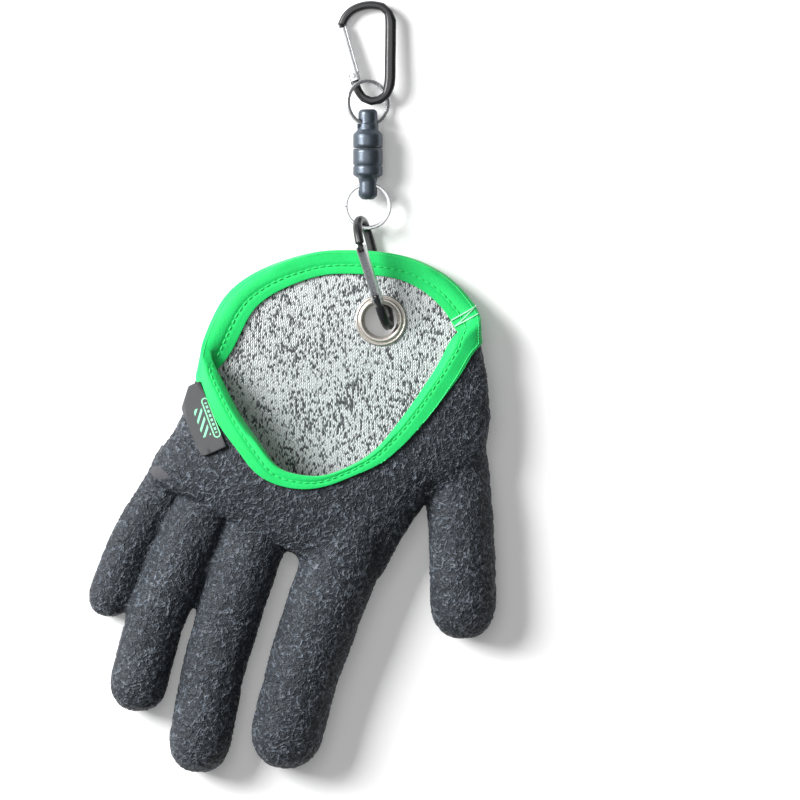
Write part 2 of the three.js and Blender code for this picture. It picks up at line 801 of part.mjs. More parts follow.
function magnetDisc(side) {
  const height = magnetDepth - runningGap;
  const disc = new THREE.CylinderGeometry(magnetDiameter / 2, magnetDiameter / 2, height, magnetSides);
  disc.translate(0, (side * height) / 2, 0);
  disc.deleteAttribute('normal');
  disc.deleteAttribute('uv');
  return mergeVertices(disc, mergeDistance);
}

// Assembly
const assembly = new THREE.Group();
function place(parent, name, geometry, material) {
  const mesh = new THREE.Mesh(geometry, material);
  mesh.name = name;
  parent.add(mesh);
}

const glove = new THREE.Group();
glove.rotation.z = radians(gloveTurn);
assembly.add(glove);
place(glove, 'coat_shell', skin(coatShape), latexFinish);
place(glove, 'knit_liner', skin(knitShape), knitFinish);
place(glove, 'cuff_binding', tapeLoft(), tapeFinish);
place(glove, 'side_label', skin(labelSolid), labelFinish);

const eyelet = new THREE.Group();
eyelet.position.copy(eyeletPlace);
eyelet.quaternion.copy(eyeletTilt);
glove.add(eyelet);
place(eyelet, 'eyelet_flange', lathe(flangeProfile, eyeletSides), nickelFinish);
place(eyelet, 'eyelet_washer', lathe(washerProfile, eyeletSides), nickelFinish);

// The lanyard is laid out from the eyelet: hook, ring, release, ring, hook
const eyeletOnTable = eyeletPlace.clone().applyAxisAngle(new THREE.Vector3(0, 0, 1), radians(gloveTurn));

function snapHook(prefix, length, group) {
  place(group, `${prefix}_body`, hookBody(length), blackFinish);
  place(group, `${prefix}_gate`, hookGate(length), silverFinish);
  place(group, `${prefix}_rivet`, hookRivet(length), silverFinish);
  assembly.add(group);
}

// Eyelet hook stands on its spine, leaning over, with its narrow bow through the eyelet
const hookHeading = 15;
const hookLean = 12;
const hookStand = 2.65;
const hookSlack = new THREE.Vector2(-3.1, 18.7);
const spineAside = 0.4 * hookWidth;
const bowReach = 0.461;
const eyeletHook = new THREE.Group();
const alongHook = new THREE.Vector3(-Math.sin(radians(hookHeading)), Math.cos(radians(hookHeading)), 0);
const besideHook = new THREE.Vector3(alongHook.y, -alongHook.x, 0);
const towardSpine = besideHook.clone().multiplyScalar(Math.sin(radians(hookLean)))
  .add(new THREE.Vector3(0, 0, -Math.cos(radians(hookLean))));
eyeletHook.quaternion.setFromRotationMatrix(new THREE.Matrix4().makeBasis(
  towardSpine, alongHook, towardSpine.clone().cross(alongHook),
));
eyeletHook.position.set(
  eyeletOnTable.x + hookSlack.x,
  eyeletOnTable.y + hookSlack.y,
  hookStand + spineAside * Math.cos(radians(hookLean)),
);
snapHook('eyelet_hook', eyeletHookLength, eyeletHook);

// Release and rings on one straight line, each ring some slack inside the bow of its hook
const lineAside = 2.2;
const lineX = eyeletHook.position.x - lineAside;
const restGap = 0.05;
const barrelHeight = barrelDiameter / 2 + restGap;
const lowerRingLift = 1.4;
const lowerRingSlack = 1.83;
function bowInside(length) {
  return bowReach * length - limbWidth / 2;
}
const lowerRing = new THREE.Group();
const lowerRingY = eyeletHook.position.y + bowInside(eyeletHookLength) * Math.cos(radians(hookHeading))
  + ringMiddle - lowerRingSlack;
lowerRing.position.set(lineX, lowerRingY, barrelHeight + lowerRingLift / 2);
lowerRing.rotation.x = -Math.atan2(lowerRingLift, 2 * ringMiddle);
place(lowerRing, 'lower_split_ring', splitRing(), silverFinish);
assembly.add(lowerRing);

const eyeOffset = 0.35;
const lowerEye = -(lowerLength - eyeSetback);
const partingY = lowerRingY + ringMiddle - eyeOffset - lowerEye;
const lowerRelease = new THREE.Group();
lowerRelease.position.set(lineX, partingY, barrelHeight);
place(lowerRelease, 'release_lower', releaseHalf(lowerProfile(), lowerEye, 0), slateFinish);
place(lowerRelease, 'release_lower_magnet', magnetDisc(-1), nickelFinish);
assembly.add(lowerRelease);

// The upper ring leans, over one side of the hook's bow and under the other
const upperRingRoll = 25.5;
const upperRingPitch = 3.5;
const upperRingHeight = 5.6;
const upperEye = upperLength - eyeSetback;
const upperRelease = new THREE.Group();
upperRelease.position.set(lineX, partingY + faceGap, barrelHeight);
place(upperRelease, 'release_upper', releaseHalf(upperProfile(), upperEye, radians(upperRingRoll)), slateFinish);
place(upperRelease, 'release_upper_magnet', magnetDisc(1), nickelFinish);
assembly.add(upperRelease);

const upperRing = new THREE.Group();
const upperRingY = partingY + faceGap + upperEye + ringMiddle - eyeOffset;
upperRing.position.set(lineX, upperRingY, upperRingHeight);
upperRing.rotation.set(-radians(upperRingPitch), radians(upperRingRoll), 0);
place(upperRing, 'upper_split_ring', splitRing(), silverFinish);
assembly.add(upperRing);

// Hanging hook lies on its gate side, tipped up a little by the ring under its spine side
const hangerRoll = -6.5;
const hangerPitch = -2.9;
const hangerTurn = 1;
const hangerAside = 0.4;
const hangerHeight = 3.85;
const hangerSlack = 6.66;
const hangerHook = new THREE.Group();
hangerHook.position.set(
  lineX - hangerAside,
  upperRingY + bowInside(hangerHookLength) + ringMiddle - hangerSlack,
  hangerHeight,
);
hangerHook.rotation.set(radians(hangerPitch), radians(hangerRoll), radians(hangerTurn));
snapHook('hanger_hook', hangerHookLength, hangerHook);

// Origin under the middle of the whole, on the surface
assembly.updateMatrixWorld(true);
const reach = new THREE.Box3().setFromObject(assembly, true);
const middle = reach.getCenter(new THREE.Vector3());
assembly.position.set(-middle.x, -middle.y, -reach.min.z);

export default assembly;
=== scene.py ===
# %% [markdown]
# A glove for holding wet fish. A knitted hand is dipped in grey latex that crinkles as it
# sets, the open cuff is bound in bright green tape, and a lanyard of two snap hooks, two
# split rings and a magnetic release hangs from an eyelet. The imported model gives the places
# and the main forms, and each piece here is built over the solid that it stands for.

import heapq
import json
import math

import bmesh
import bpy
import numpy as np
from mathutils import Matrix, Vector, noise
from mathutils.bvhtree import BVHTree
from mathutils.kdtree import KDTree


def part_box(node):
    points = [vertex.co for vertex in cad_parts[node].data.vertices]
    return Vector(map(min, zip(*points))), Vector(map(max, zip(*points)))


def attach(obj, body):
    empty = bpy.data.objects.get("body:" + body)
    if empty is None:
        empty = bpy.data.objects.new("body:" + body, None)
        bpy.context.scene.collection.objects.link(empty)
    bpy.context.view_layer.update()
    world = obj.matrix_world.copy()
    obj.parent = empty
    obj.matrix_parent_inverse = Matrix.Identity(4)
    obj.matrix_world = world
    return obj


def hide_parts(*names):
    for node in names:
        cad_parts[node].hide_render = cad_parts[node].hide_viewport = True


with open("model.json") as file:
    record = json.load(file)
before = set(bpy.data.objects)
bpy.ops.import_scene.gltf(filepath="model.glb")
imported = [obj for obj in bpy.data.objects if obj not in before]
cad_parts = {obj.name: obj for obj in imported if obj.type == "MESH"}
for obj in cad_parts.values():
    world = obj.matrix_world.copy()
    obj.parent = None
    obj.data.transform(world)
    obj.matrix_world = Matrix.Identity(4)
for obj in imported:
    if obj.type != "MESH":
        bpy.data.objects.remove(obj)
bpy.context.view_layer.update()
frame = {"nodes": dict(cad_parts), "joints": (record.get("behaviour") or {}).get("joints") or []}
MM = 0.001
print("solids loaded:", len(frame["nodes"]))

# %% [markdown]
# The camera looks straight down on the glove from far off, as in a catalogue picture, so
# nothing leans. A long lens at three metres keeps the frame 320 mm wide on the floor.

# %% Camera
VIEW_CENTRE = (0.0431, -0.0056)
VIEW_WIDTH = 0.320
VIEW_LEVEL = 0.01
CAMERA_HEIGHT = 3.0
SENSOR_WIDTH = 36.0
camera_data = bpy.data.cameras.new("camera")
camera_data.sensor_width = SENSOR_WIDTH
camera_data.lens = SENSOR_WIDTH * CAMERA_HEIGHT / VIEW_WIDTH
camera = bpy.data.objects.new("camera", camera_data)
camera.location = (*VIEW_CENTRE, CAMERA_HEIGHT + VIEW_LEVEL)
bpy.context.scene.collection.objects.link(camera)
bpy.context.scene.camera = camera
print("lens in mm:", round(camera_data.lens))

# %% [markdown]
# A material is a small tree of nodes. One helper adds a node, with its settings and whatever
# feeds it, and the others stand for common steps: a sum, a smooth ramp, a mix of two colours,
# a noise, a bump. So each finish below reads as a short list.

# %% Helpers for node trees
def add(tree, kind, feeds=None, **settings):
    made = tree.nodes.new(kind)
    for name, value in settings.items():
        setattr(made, name, value)
    for name, value in (feeds or {}).items():
        if isinstance(value, bpy.types.NodeSocket):
            tree.links.new(value, made.inputs[name])
        else:
            made.inputs[name].default_value = value
    return made


def maths(tree, operation, *values, clamp=False):
    feeds = dict(enumerate(values))
    return add(tree, "ShaderNodeMath", feeds, operation=operation, use_clamp=clamp).outputs[0]


def ramp(tree, value, low, high, start=0.0, end=1.0):
    feeds = {"Value": value, "From Min": low, "From Max": high, "To Min": start, "To Max": end}
    return add(tree, "ShaderNodeMapRange", feeds, interpolation_type="SMOOTHSTEP").outputs[0]


def mix_colour(tree, share, first, second):
    made = add(tree, "ShaderNodeMix", data_type="RGBA")
    for socket, value in ((0, share), (6, first), (7, second)):
        if isinstance(value, bpy.types.NodeSocket):
            tree.links.new(value, made.inputs[socket])
        else:
            made.inputs[socket].default_value = value
    return made.outputs[2]


def new_material(name, colour, roughness, metallic=0.0, **sockets):
    material = bpy.data.materials.new(name)
    material.use_nodes = True
    shader = material.node_tree.nodes["Principled BSDF"]
    shader.inputs["Base Color"].default_value = (*colour, 1)
    shader.inputs["Roughness"].default_value = roughness
    shader.inputs["Metallic"].default_value = metallic
    for socket, value in sockets.items():
        shader.inputs[socket.replace("_", " ")].default_value = value
    material.diffuse_color = (*colour, 1)
    return material, material.node_tree, shader


def place_of(tree):
    return add(tree, "ShaderNodeTexCoord").outputs["Object"]


def cloudy(tree, place, scale, detail=2.0, **feeds):
    """The value of a noise that changes over about 1 / scale metres."""
    feeds.update(Vector=place, Scale=scale, Detail=detail)
    return add(tree, "ShaderNodeTexNoise", feeds).outputs["Fac"]


def bump(tree, shader, height, depth, strength=1.0):
    feeds = {"Height": height, "Distance": depth, "Strength": strength}
    made = add(tree, "ShaderNodeBump", feeds)
    tree.links.new(made.outputs[0], shader.inputs["Normal"])


print("materials so far:", len(bpy.data.materials))

# %% [markdown]
# The metals, the rubber tag and the inside of the latex all carry small marks: a fine grain,
# and specks where a finish has rubbed. One node group makes both at a given size.

# %% Group: rubbed specks and grain
def new_group(name, inputs, outputs):
    group = bpy.data.node_groups.new(name, "ShaderNodeTree")
    for label, kind, value in inputs:
        socket = group.interface.new_socket(label, in_out="INPUT", socket_type=kind)
        if value is not None:
            socket.default_value = value
    for label in outputs:
        group.interface.new_socket(label, in_out="OUTPUT", socket_type="NodeSocketFloat")
    return group, add(group, "NodeGroupInput"), add(group, "NodeGroupOutput")


rub_group, rub_in, rub_out = new_group(
    "rubbed_finish",
    [("Place", "NodeSocketVector", None), ("Speck size", "NodeSocketFloat", 1.5 * MM)],
    ["Specks", "Grain"],
)
GRAINS_IN_SPECK = 6.0
per_speck = maths(rub_group, "DIVIDE", 1.0, rub_in.outputs["Speck size"])
broad = cloudy(rub_group, rub_in.outputs["Place"], per_speck, 5.0, Roughness=0.65)
per_grain = maths(rub_group, "MULTIPLY", per_speck, GRAINS_IN_SPECK)
grain = cloudy(rub_group, rub_in.outputs["Place"], per_grain)
rub_group.links.new(ramp(rub_group, broad, 0.60, 0.72), rub_out.inputs["Specks"])
rub_group.links.new(grain, rub_out.inputs["Grain"])


def rubbed(tree, size):
    made = add(tree, "ShaderNodeGroup", node_tree=rub_group)
    tree.links.new(place_of(tree), made.inputs["Place"])
    made.inputs["Speck size"].default_value = size
    return made.outputs["Specks"], made.outputs["Grain"]


print("group sockets:", len(rub_group.interface.items_tree))

# %% [markdown]
# The latex sets in worm-like crinkles about two millimetres apart, with finer ones between.
# A noise whose middle level is picked out gives such winding lines. The place is warped by
# another noise first, so the lines curl. The colour paints a highlight on the crests and
# painted shade in the hollows and small pits, which are nearly black; a broad cloud varies
# the tone at random.

# %% Finish: crinkled latex
LINE_WIDTH = 0.085
COARSE_SPACING, COARSE_WARP = 1.9 * MM, 2.6 * MM
FINE_SPACING, FINE_WARP = 0.85 * MM, 1.2 * MM


def winding_lines(tree, place, spacing, warp):
    """Height from 0 in the hollows to 1 on the crests of curling ridges."""
    bend = add(tree, "ShaderNodeTexNoise", {
        "Vector": place, "Scale": 0.45 / spacing, "Detail": 1.0,
    })
    centred = add(tree, "ShaderNodeVectorMath", {
        0: bend.outputs["Color"], 1: (0.5, 0.5, 0.5),
    }, operation="SUBTRACT")
    shift = add(tree, "ShaderNodeVectorMath", {
        0: centred.outputs[0], "Scale": warp,
    }, operation="SCALE")
    moved = add(tree, "ShaderNodeVectorMath", {0: place, 1: shift.outputs[0]}, operation="ADD")
    field = cloudy(tree, moved.outputs[0], 0.62 / spacing, 0.6)
    away = maths(tree, "ABSOLUTE", maths(tree, "SUBTRACT", field, 0.5))
    return ramp(tree, away, LINE_WIDTH, 0.0)


latex, tree, shader = new_material("crinkled_latex", (0.05, 0.055, 0.065), 0.5, IOR=1.42)
place = place_of(tree)
coarse = winding_lines(tree, place, COARSE_SPACING, COARSE_WARP)
fine = winding_lines(tree, place, FINE_SPACING, FINE_WARP)
crest = maths(tree, "ADD", maths(tree, "MULTIPLY", coarse, 0.5),
              maths(tree, "MULTIPLY", fine, 0.5))
clouds = cloudy(tree, place, 45.0, 3.0)
pits = cloudy(tree, place, 620.0)
# Painted highlight and painted shade: crests and high pits are made paler, hollows and low pits
# darker; the clouds are random tone.
shade = maths(tree, "MULTIPLY", crest, ramp(tree, clouds, 0.3, 0.7, 0.55, 1.0))
shade = maths(tree, "MULTIPLY", shade, ramp(tree, pits, 0.38, 0.60, 0.25, 1.25))
colour = mix_colour(tree, shade, (0.017, 0.021, 0.027, 1), (0.165, 0.192, 0.230, 1))
tree.links.new(colour, shader.inputs["Base Color"])
tree.links.new(ramp(tree, crest, 0.0, 1.0, 0.62, 0.36), shader.inputs["Roughness"])
bump(tree, shader, maths(tree, "MULTIPLY_ADD", pits, 0.6, crest), 0.62 * MM)

lining_latex, tree, shader = new_material("lining_latex", (0.05, 0.053, 0.06), 0.8)
_, grain_value = rubbed(tree, 2 * MM)
tree.links.new(mix_colour(tree, grain_value, (0.03, 0.03, 0.034, 1), (0.09, 0.09, 0.1, 1)),
               shader.inputs["Base Color"])
bump(tree, shader, grain_value, 0.2 * MM)
print("latex nodes:", len(latex.node_tree.nodes))

# %% [markdown]
# The knit is a plain jersey of pale yarn with dark flecks. Each wale is a column of V shapes,
# two slanting legs wide. A leg and a row give every half-stitch its own number, and white
# noise on that number decides whether the yarn there is pale or dark, as in a marled yarn.

# %% Finish: marled jersey knit
GLOVE_TURN = math.radians(-8)
LEG_WIDTH = 0.72 * MM
ROW_HEIGHT = 1.25 * MM
LEG_SLANT = 0.75
YARN_DRIFT = 1.6 * MM
knit, tree, shader = new_material("marled_knit", (0.6, 0.62, 0.6), 0.9, Specular_IOR_Level=0.25)
turned = add(tree, "ShaderNodeMapping", {
    "Vector": place_of(tree), "Rotation": (0, 0, -GLOVE_TURN),
})
wobble = cloudy(tree, turned.outputs[0], 160.0)
parts = add(tree, "ShaderNodeSeparateXYZ", {0: turned.outputs[0]})
drift = maths(tree, "MULTIPLY", maths(tree, "SUBTRACT", wobble, 0.5), YARN_DRIFT)
across = maths(tree, "ADD", maths(tree, "ADD", parts.outputs["X"], parts.outputs["Z"]), drift)
legs = maths(tree, "DIVIDE", across, LEG_WIDTH)
leg = maths(tree, "FLOOR", legs)
in_leg = maths(tree, "FRACT", legs)
side = maths(tree, "ABSOLUTE", maths(tree, "MODULO", leg, 2.0))
mirrored = maths(tree, "SUBTRACT", 1.0, in_leg)
slant = maths(tree, "ADD", maths(tree, "MULTIPLY", side, in_leg),
              maths(tree, "MULTIPLY", maths(tree, "SUBTRACT", 1.0, side), mirrored))
along = maths(tree, "ADD", parts.outputs["Y"], drift)
rows = maths(tree, "ADD", maths(tree, "DIVIDE", along, ROW_HEIGHT),
             maths(tree, "MULTIPLY", slant, LEG_SLANT))
row = maths(tree, "FLOOR", rows)
in_row = maths(tree, "FRACT", rows)
leg_round = maths(tree, "SINE", maths(tree, "MULTIPLY", in_leg, math.pi))
row_round = maths(tree, "SINE", maths(tree, "MULTIPLY", in_row, math.pi))
yarn_round = maths(tree, "MULTIPLY", leg_round, row_round)
print("knit: wale of", round(2 * LEG_WIDTH / MM, 2), "mm")

# %% [markdown]
# Chance alone would scatter the flecks evenly. A stretched noise draws them into short runs
# along the rows, a broad one makes patches, and a very fine one frays them into fibres.

# %% Finish: flecks of the knit
number = add(tree, "ShaderNodeCombineXYZ", {"X": leg, "Y": row})
chance = add(tree, "ShaderNodeTexWhiteNoise", {"Vector": number.outputs[0]})
stretched = add(tree, "ShaderNodeVectorMath", {0: number.outputs[0], 1: (0.8, 0.42, 1)},
                operation="MULTIPLY")
runs = cloudy(tree, stretched.outputs[0], 1.0)
patches = cloudy(tree, turned.outputs[0], 70.0)
drawn = add(tree, "ShaderNodeMapping", {"Vector": turned.outputs[0], "Scale": (1.0, 0.4, 1.0)})
fibres = cloudy(tree, drawn.outputs[0], 1500.0, 1.0)
dark = maths(tree, "ADD", maths(tree, "MULTIPLY", chance.outputs["Value"], 0.45),
             maths(tree, "ADD", maths(tree, "MULTIPLY", runs, 0.40),
                   maths(tree, "MULTIPLY", patches, 0.40)))
dark = maths(tree, "ADD", dark, maths(tree, "MULTIPLY", fibres, 0.75))
flecked = ramp(tree, dark, 1.00, 1.20)
yarn = mix_colour(tree, flecked, (0.75, 0.79, 0.80, 1), (0.065, 0.070, 0.078, 1))
# Painted shade: where the rounded loops fall away, the yarn colour is darkened to grey between the
# stitches.
yarn_and_gap_shade = mix_colour(tree, ramp(tree, yarn_round, -0.12, 0.30), (0.16, 0.17, 0.175, 1), yarn)
tree.links.new(yarn_and_gap_shade, shader.inputs["Base Color"])
bump(tree, shader, yarn_round, 0.35 * MM, 0.9)
print("knit nodes:", len(tree.nodes))

# %% [markdown]
# The binding is a stretch tape in bright green with a fine weave, and the stitching thread is
# a lighter green, mottled by painted light and shade on its twist. A paler thread of the same
# kind comes later.

# %% Finishes: tape and thread
tape, tree, shader = new_material("green_tape", (0.0, 0.85, 0.16), 0.62, Sheen_Weight=0.15,
                                  Specular_IOR_Level=0.3)
wove = cloudy(tree, place_of(tree), 1500.0)
broad_shade = cloudy(tree, place_of(tree), 90.0)
share = maths(tree, "MULTIPLY_ADD", wove, 0.5, maths(tree, "MULTIPLY", broad_shade, 0.5))
tree.links.new(mix_colour(tree, share, (0.003, 0.42, 0.065, 1), (0.012, 0.76, 0.19, 1)),
               shader.inputs["Base Color"])
bump(tree, shader, wove, 0.12 * MM)


def twisted(name, colour, shaded, lit):
    material, tree, shader = new_material(name, colour, 0.6, Sheen_Weight=0.2)
    # Painted light and shade: a noise mixes a shaded and a lit copy of the colour along the twist.
    twist = cloudy(tree, place_of(tree), 2600.0, 1.0)
    tree.links.new(mix_colour(tree, twist, (*shaded, 1), (*lit, 1)), shader.inputs["Base Color"])
    bump(tree, shader, twist, 0.08 * MM)
    return material


thread = twisted("green_thread", (0.05, 0.95, 0.3), (0.0, 0.5, 0.09), (0.06, 1.0, 0.3))
print("made:", tape.name, thread.name)

# %% [markdown]
# The tag is a soft grey rubber with pale green printing: a plain pill-shaped outline with
# short bars in it, beside slanting stripes. The printing reads the tag's own UV map, which is
# in millimetres along and across the tag, and so are the sizes here.

# %% Finish: printed tag
tag, tree, shader = new_material("printed_tag", (0.05, 0.052, 0.056), 0.55)
uv = add(tree, "ShaderNodeUVMap", uv_map="tag_mm")
spot = add(tree, "ShaderNodeSeparateXYZ", {0: uv.outputs[0]})


def inside(tree, value, low, high, soft=0.18):
    rise = ramp(tree, value, low - soft, low + soft)
    fall = ramp(tree, value, high - soft, high + soft, 1.0, 0.0)
    return maths(tree, "MULTIPLY", rise, fall)


PILL_ACROSS, PILL_HALF, PILL_ROUND = 1.3, 7.2, 1.3
BAR_SPACING = 1.9
STRIPE_SPACING, STRIPE_SLANT = 3.6, 1.3
STRIPES_LOW, STRIPES_HIGH = (-5.5, -4.4), (6.5, -1.0)
ANY_LOWER = -1.0
run = maths(tree, "ABSOLUTE", spot.outputs["X"])
past = maths(tree, "MAXIMUM", maths(tree, "SUBTRACT", run, PILL_HALF), 0.0)
off = maths(tree, "SUBTRACT", spot.outputs["Y"], PILL_ACROSS)
reach = maths(tree, "SQRT", maths(tree, "ADD", maths(tree, "MULTIPLY", past, past),
                                  maths(tree, "MULTIPLY", off, off)))
pill = inside(tree, reach, PILL_ROUND - 0.30, PILL_ROUND + 0.15, 0.1)
dashes = maths(tree, "FRACT", maths(tree, "DIVIDE", spot.outputs["X"], BAR_SPACING))
bars = maths(tree, "MULTIPLY", inside(tree, dashes, 0.25, 0.8, 0.08),
             inside(tree, reach, ANY_LOWER, 0.42, 0.1))
bars = maths(tree, "MULTIPLY", bars, inside(tree, run, ANY_LOWER, PILL_HALF - 0.6, 0.1))
lean = maths(tree, "ADD", spot.outputs["X"],
             maths(tree, "MULTIPLY", spot.outputs["Y"], STRIPE_SLANT))
striped = maths(tree, "FRACT", maths(tree, "DIVIDE", lean, STRIPE_SPACING))
stripes = inside(tree, striped, 0.2, 0.58, 0.06)
stripes = maths(tree, "MULTIPLY", stripes,
                inside(tree, spot.outputs["Y"], STRIPES_LOW[1], STRIPES_HIGH[1], 0.15))
stripes = maths(tree, "MULTIPLY", stripes,
                inside(tree, spot.outputs["X"], STRIPES_LOW[0], STRIPES_HIGH[0], 0.15))
print_mask = maths(tree, "ADD", maths(tree, "ADD", pill, bars), stripes, clamp=True)
_, grain_value = rubbed(tree, 0.9 * MM)
plain = mix_colour(tree, grain_value, (0.022, 0.024, 0.027, 1), (0.05, 0.053, 0.058, 1))
tree.links.new(mix_colour(tree, print_mask, plain, (0.25, 0.85, 0.45, 1)),
               shader.inputs["Base Color"])
bump(tree, shader, grain_value, 0.08 * MM)
print("tag nodes:", len(tree.nodes))

# %% [markdown]
# Six metals: black anodised hooks, bright steel gates, plated rings, the slate satin barrel of
# the release, the warm nickel eyelet, and the plates of the magnets. Grain roughens each a
# little, and small rubbed specks change the colour where the skin has worn.

# %% Finishes: metals
def metal(name, colour, worn, roughness, metallic, speck, spread=0.12, **sockets):
    material, tree, shader = new_material(name, colour, roughness, metallic, **sockets)
    specks, grain_value = rubbed(tree, speck)
    faint = maths(tree, "MULTIPLY", specks, 0.5)
    tree.links.new(mix_colour(tree, faint, (*colour, 1), (*worn, 1)), shader.inputs["Base Color"])
    tree.links.new(ramp(tree, grain_value, 0.3, 0.7, roughness - spread, roughness + spread),
                   shader.inputs["Roughness"])
    bump(tree, shader, grain_value, 0.002 * MM)
    return material


black_metal = metal("black_anodised", (0.012, 0.012, 0.014), (0.05, 0.05, 0.055), 0.40, 0.1,
                    2 * MM, 0.08, Coat_Weight=0.15)
gate_metal = metal("gate_steel", (0.74, 0.75, 0.77), (0.58, 0.58, 0.6), 0.32, 0.8, 3 * MM, 0.05)
ring_metal = metal("ring_steel", (0.66, 0.67, 0.69), (0.5, 0.5, 0.5), 0.28, 0.75, 3 * MM, 0.05)
slate_metal = metal("slate_satin", (0.075, 0.092, 0.115), (0.16, 0.18, 0.2), 0.38, 0.6,
                    3 * MM, 0.1)
nickel = metal("warm_nickel", (0.60, 0.565, 0.52), (0.42, 0.39, 0.35), 0.33, 0.75, 4 * MM,
               0.06)
magnet_metal = metal("magnet_plate", (0.55, 0.55, 0.56), (0.3, 0.3, 0.3), 0.3, 1.0, 3 * MM)
print("materials so far:", [m.name for m in bpy.data.materials])

# %% [markdown]
# A CAD solid comes as loose triangles. For a finished piece its copy is merged, its triangles
# are joined into quads, its sharp edges are creased, and a subdivision surface rounds the
# facets. That keeps the CAD's places exactly and takes away its straight chords.

# %% Helper: a rounded copy of a solid
def link(name, mesh):
    piece = bpy.data.objects.new(name, mesh)
    bpy.context.scene.collection.objects.link(piece)
    return piece


def merged(node):
    shape = bmesh.new()
    shape.from_mesh(frame["nodes"][node].data)
    bmesh.ops.remove_doubles(shape, verts=shape.verts, dist=0.004 * MM)
    return shape


def finished(piece, body, slot, material, *nodes):
    piece.data.materials.clear()
    piece.data.materials.append(material)
    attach(piece, body)
    if nodes:
        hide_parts(*nodes)
    print(piece.name, "faces:", len(piece.data.polygons))
    return piece


def flattened(piece):
    """The evaluated mesh takes the place of the piece's modifiers."""
    ready = bpy.data.meshes.new_from_object(
        piece.evaluated_get(bpy.context.evaluated_depsgraph_get()))
    piece.modifiers.clear()
    piece.data = ready
    return piece


def rounded(node, name, sharp_deg=38, crease=0.75, levels=2, join_deg=50):
    shape = merged(node)
    bmesh.ops.join_triangles(shape, faces=shape.faces, angle_face_threshold=math.radians(join_deg),
                             angle_shape_threshold=math.radians(join_deg))
    layer = shape.edges.layers.float.new("crease_edge")
    for edge in shape.edges:
        if len(edge.link_faces) == 2 and edge.calc_face_angle(0) > math.radians(sharp_deg):
            edge[layer] = crease
    mesh = bpy.data.meshes.new(name)
    shape.to_mesh(mesh)
    shape.free()
    piece = link(name, mesh)
    divide = piece.modifiers.new("round", "SUBSURF")
    divide.levels = divide.render_levels = levels
    flattened(piece)
    piece.data.shade_smooth()
    return piece


def bevelled(node, name, width=0.12 * MM):
    """A copy with its flat faces made whole and its edges broken, for folded sheet and pins."""
    shape = merged(node)
    bmesh.ops.dissolve_limit(shape, angle_limit=math.radians(2), verts=shape.verts,
                             edges=shape.edges)
    mesh = bpy.data.meshes.new(name)
    shape.to_mesh(mesh)
    shape.free()
    piece = link(name, mesh)
    edge = piece.modifiers.new("edges", "BEVEL")
    edge.width, edge.segments, edge.limit_method = width, 2, "ANGLE"
    edge.angle_limit = math.radians(28)
    flattened(piece)
    piece.data.shade_smooth()
    piece.data.set_sharp_from_angle(angle=math.radians(40))
    return piece


print("merged release has", len(merged("release_lower").verts), "points")

# %% [markdown]
# The coat is the whole dipped hand, and its outer skin has to be told from its inside. Rays
# are shot at it from above and below. What one meets first, in front of every other piece,
# is skin, and what it meets just behind the wall is inside.

# %% Coat: seen faces and faces behind the wall
def tree_of(names):
    shape = bmesh.new()
    for name in names:
        shape.from_mesh(frame["nodes"][name].data)
    tree = BVHTree.FromBMesh(shape)
    shape.free()
    return tree


OUTSIDE, INSIDE = 0, 1
THROUGH_WALL = 2.5 * MM
RAY_LEANS = (-0.35, 0.0, 0.35)
RAY_LEVEL = 0.01
RAY_RUN_UP = 0.1
RAY_STEP_ON = 0.02 * MM


def shoot(coat_tree, cover_tree, low, high, spacing=1.6 * MM):
    seen = {}
    for lean in RAY_LEANS:
        for way in (-1, 1):
            heading = Vector((lean, 0, way)).normalized()
            for x in np.arange(low.x, high.x, spacing):
                for y in np.arange(low.y, high.y, spacing):
                    start = Vector((x, y, RAY_LEVEL)) - heading * RAY_RUN_UP
                    first = coat_tree.ray_cast(start, heading)
                    if first[0] is None:
                        continue
                    if cover_tree.ray_cast(start, heading, first[3])[0] is not None:
                        continue
                    seen[first[2]] = OUTSIDE
                    second = coat_tree.ray_cast(first[0] + heading * RAY_STEP_ON, heading)
                    if second[0] is not None and second[3] < THROUGH_WALL:
                        seen.setdefault(second[2], INSIDE)
    return seen


shape = merged("coat_shell")
shape.faces.ensure_lookup_table()
others = [name for name in frame["nodes"] if name != "coat_shell"]
known = shoot(BVHTree.FromBMesh(shape), tree_of(others), *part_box("coat_shell"))
print("faces met by rays:", len(known), "of", len(shape.faces))

# %% [markdown]
# The faces that no ray met are settled by growing both sides from face to face, over the
# flattest edges first, so that they part at the sharp rim. The inside becomes the lining.

# %% Coat: grow both sides over the flattest edges
def grown(shape, known):
    side_of = {}
    waiting = [(0.0, index, side) for index, side in known.items()]
    heapq.heapify(waiting)
    while waiting:
        turn, index, side = heapq.heappop(waiting)
        if index in side_of:
            continue
        side_of[index] = side
        for edge in shape.faces[index].edges:
            angle = edge.calc_face_angle(math.pi) if len(edge.link_faces) == 2 else math.pi
            for face in edge.link_faces:
                if face.index not in side_of:
                    heapq.heappush(waiting, (max(turn, angle), face.index, side))
    return side_of


outer = {index for index, side in grown(shape, known).items() if side == OUTSIDE}
print("outer faces:", len(outer), "of", len(shape.faces))

lining_shape = shape.copy()
lining_shape.faces.ensure_lookup_table()
bmesh.ops.delete(lining_shape, geom=[lining_shape.faces[i] for i in outer], context="FACES")
lining_mesh = bpy.data.meshes.new("coat_lining")
lining_shape.to_mesh(lining_mesh)
lining_shape.free()
lining_mesh.shade_smooth()
coat_lining = link("coat_lining", lining_mesh)

bmesh.ops.delete(shape, geom=[f for f in shape.faces if f.index not in outer], context="FACES")
skin_tree = BVHTree.FromBMesh(shape)
rim_points = np.array([v.co for v in shape.verts if v.is_boundary])
borders = [edge for edge in shape.edges if edge.is_boundary]
print("rim points:", len(rim_points))

# %% [markdown]
# The skin alone has open rims. Each is closed by a fan of triangles round its middle, the
# closed form is remeshed into even little squares, and the fans come off again at the end.

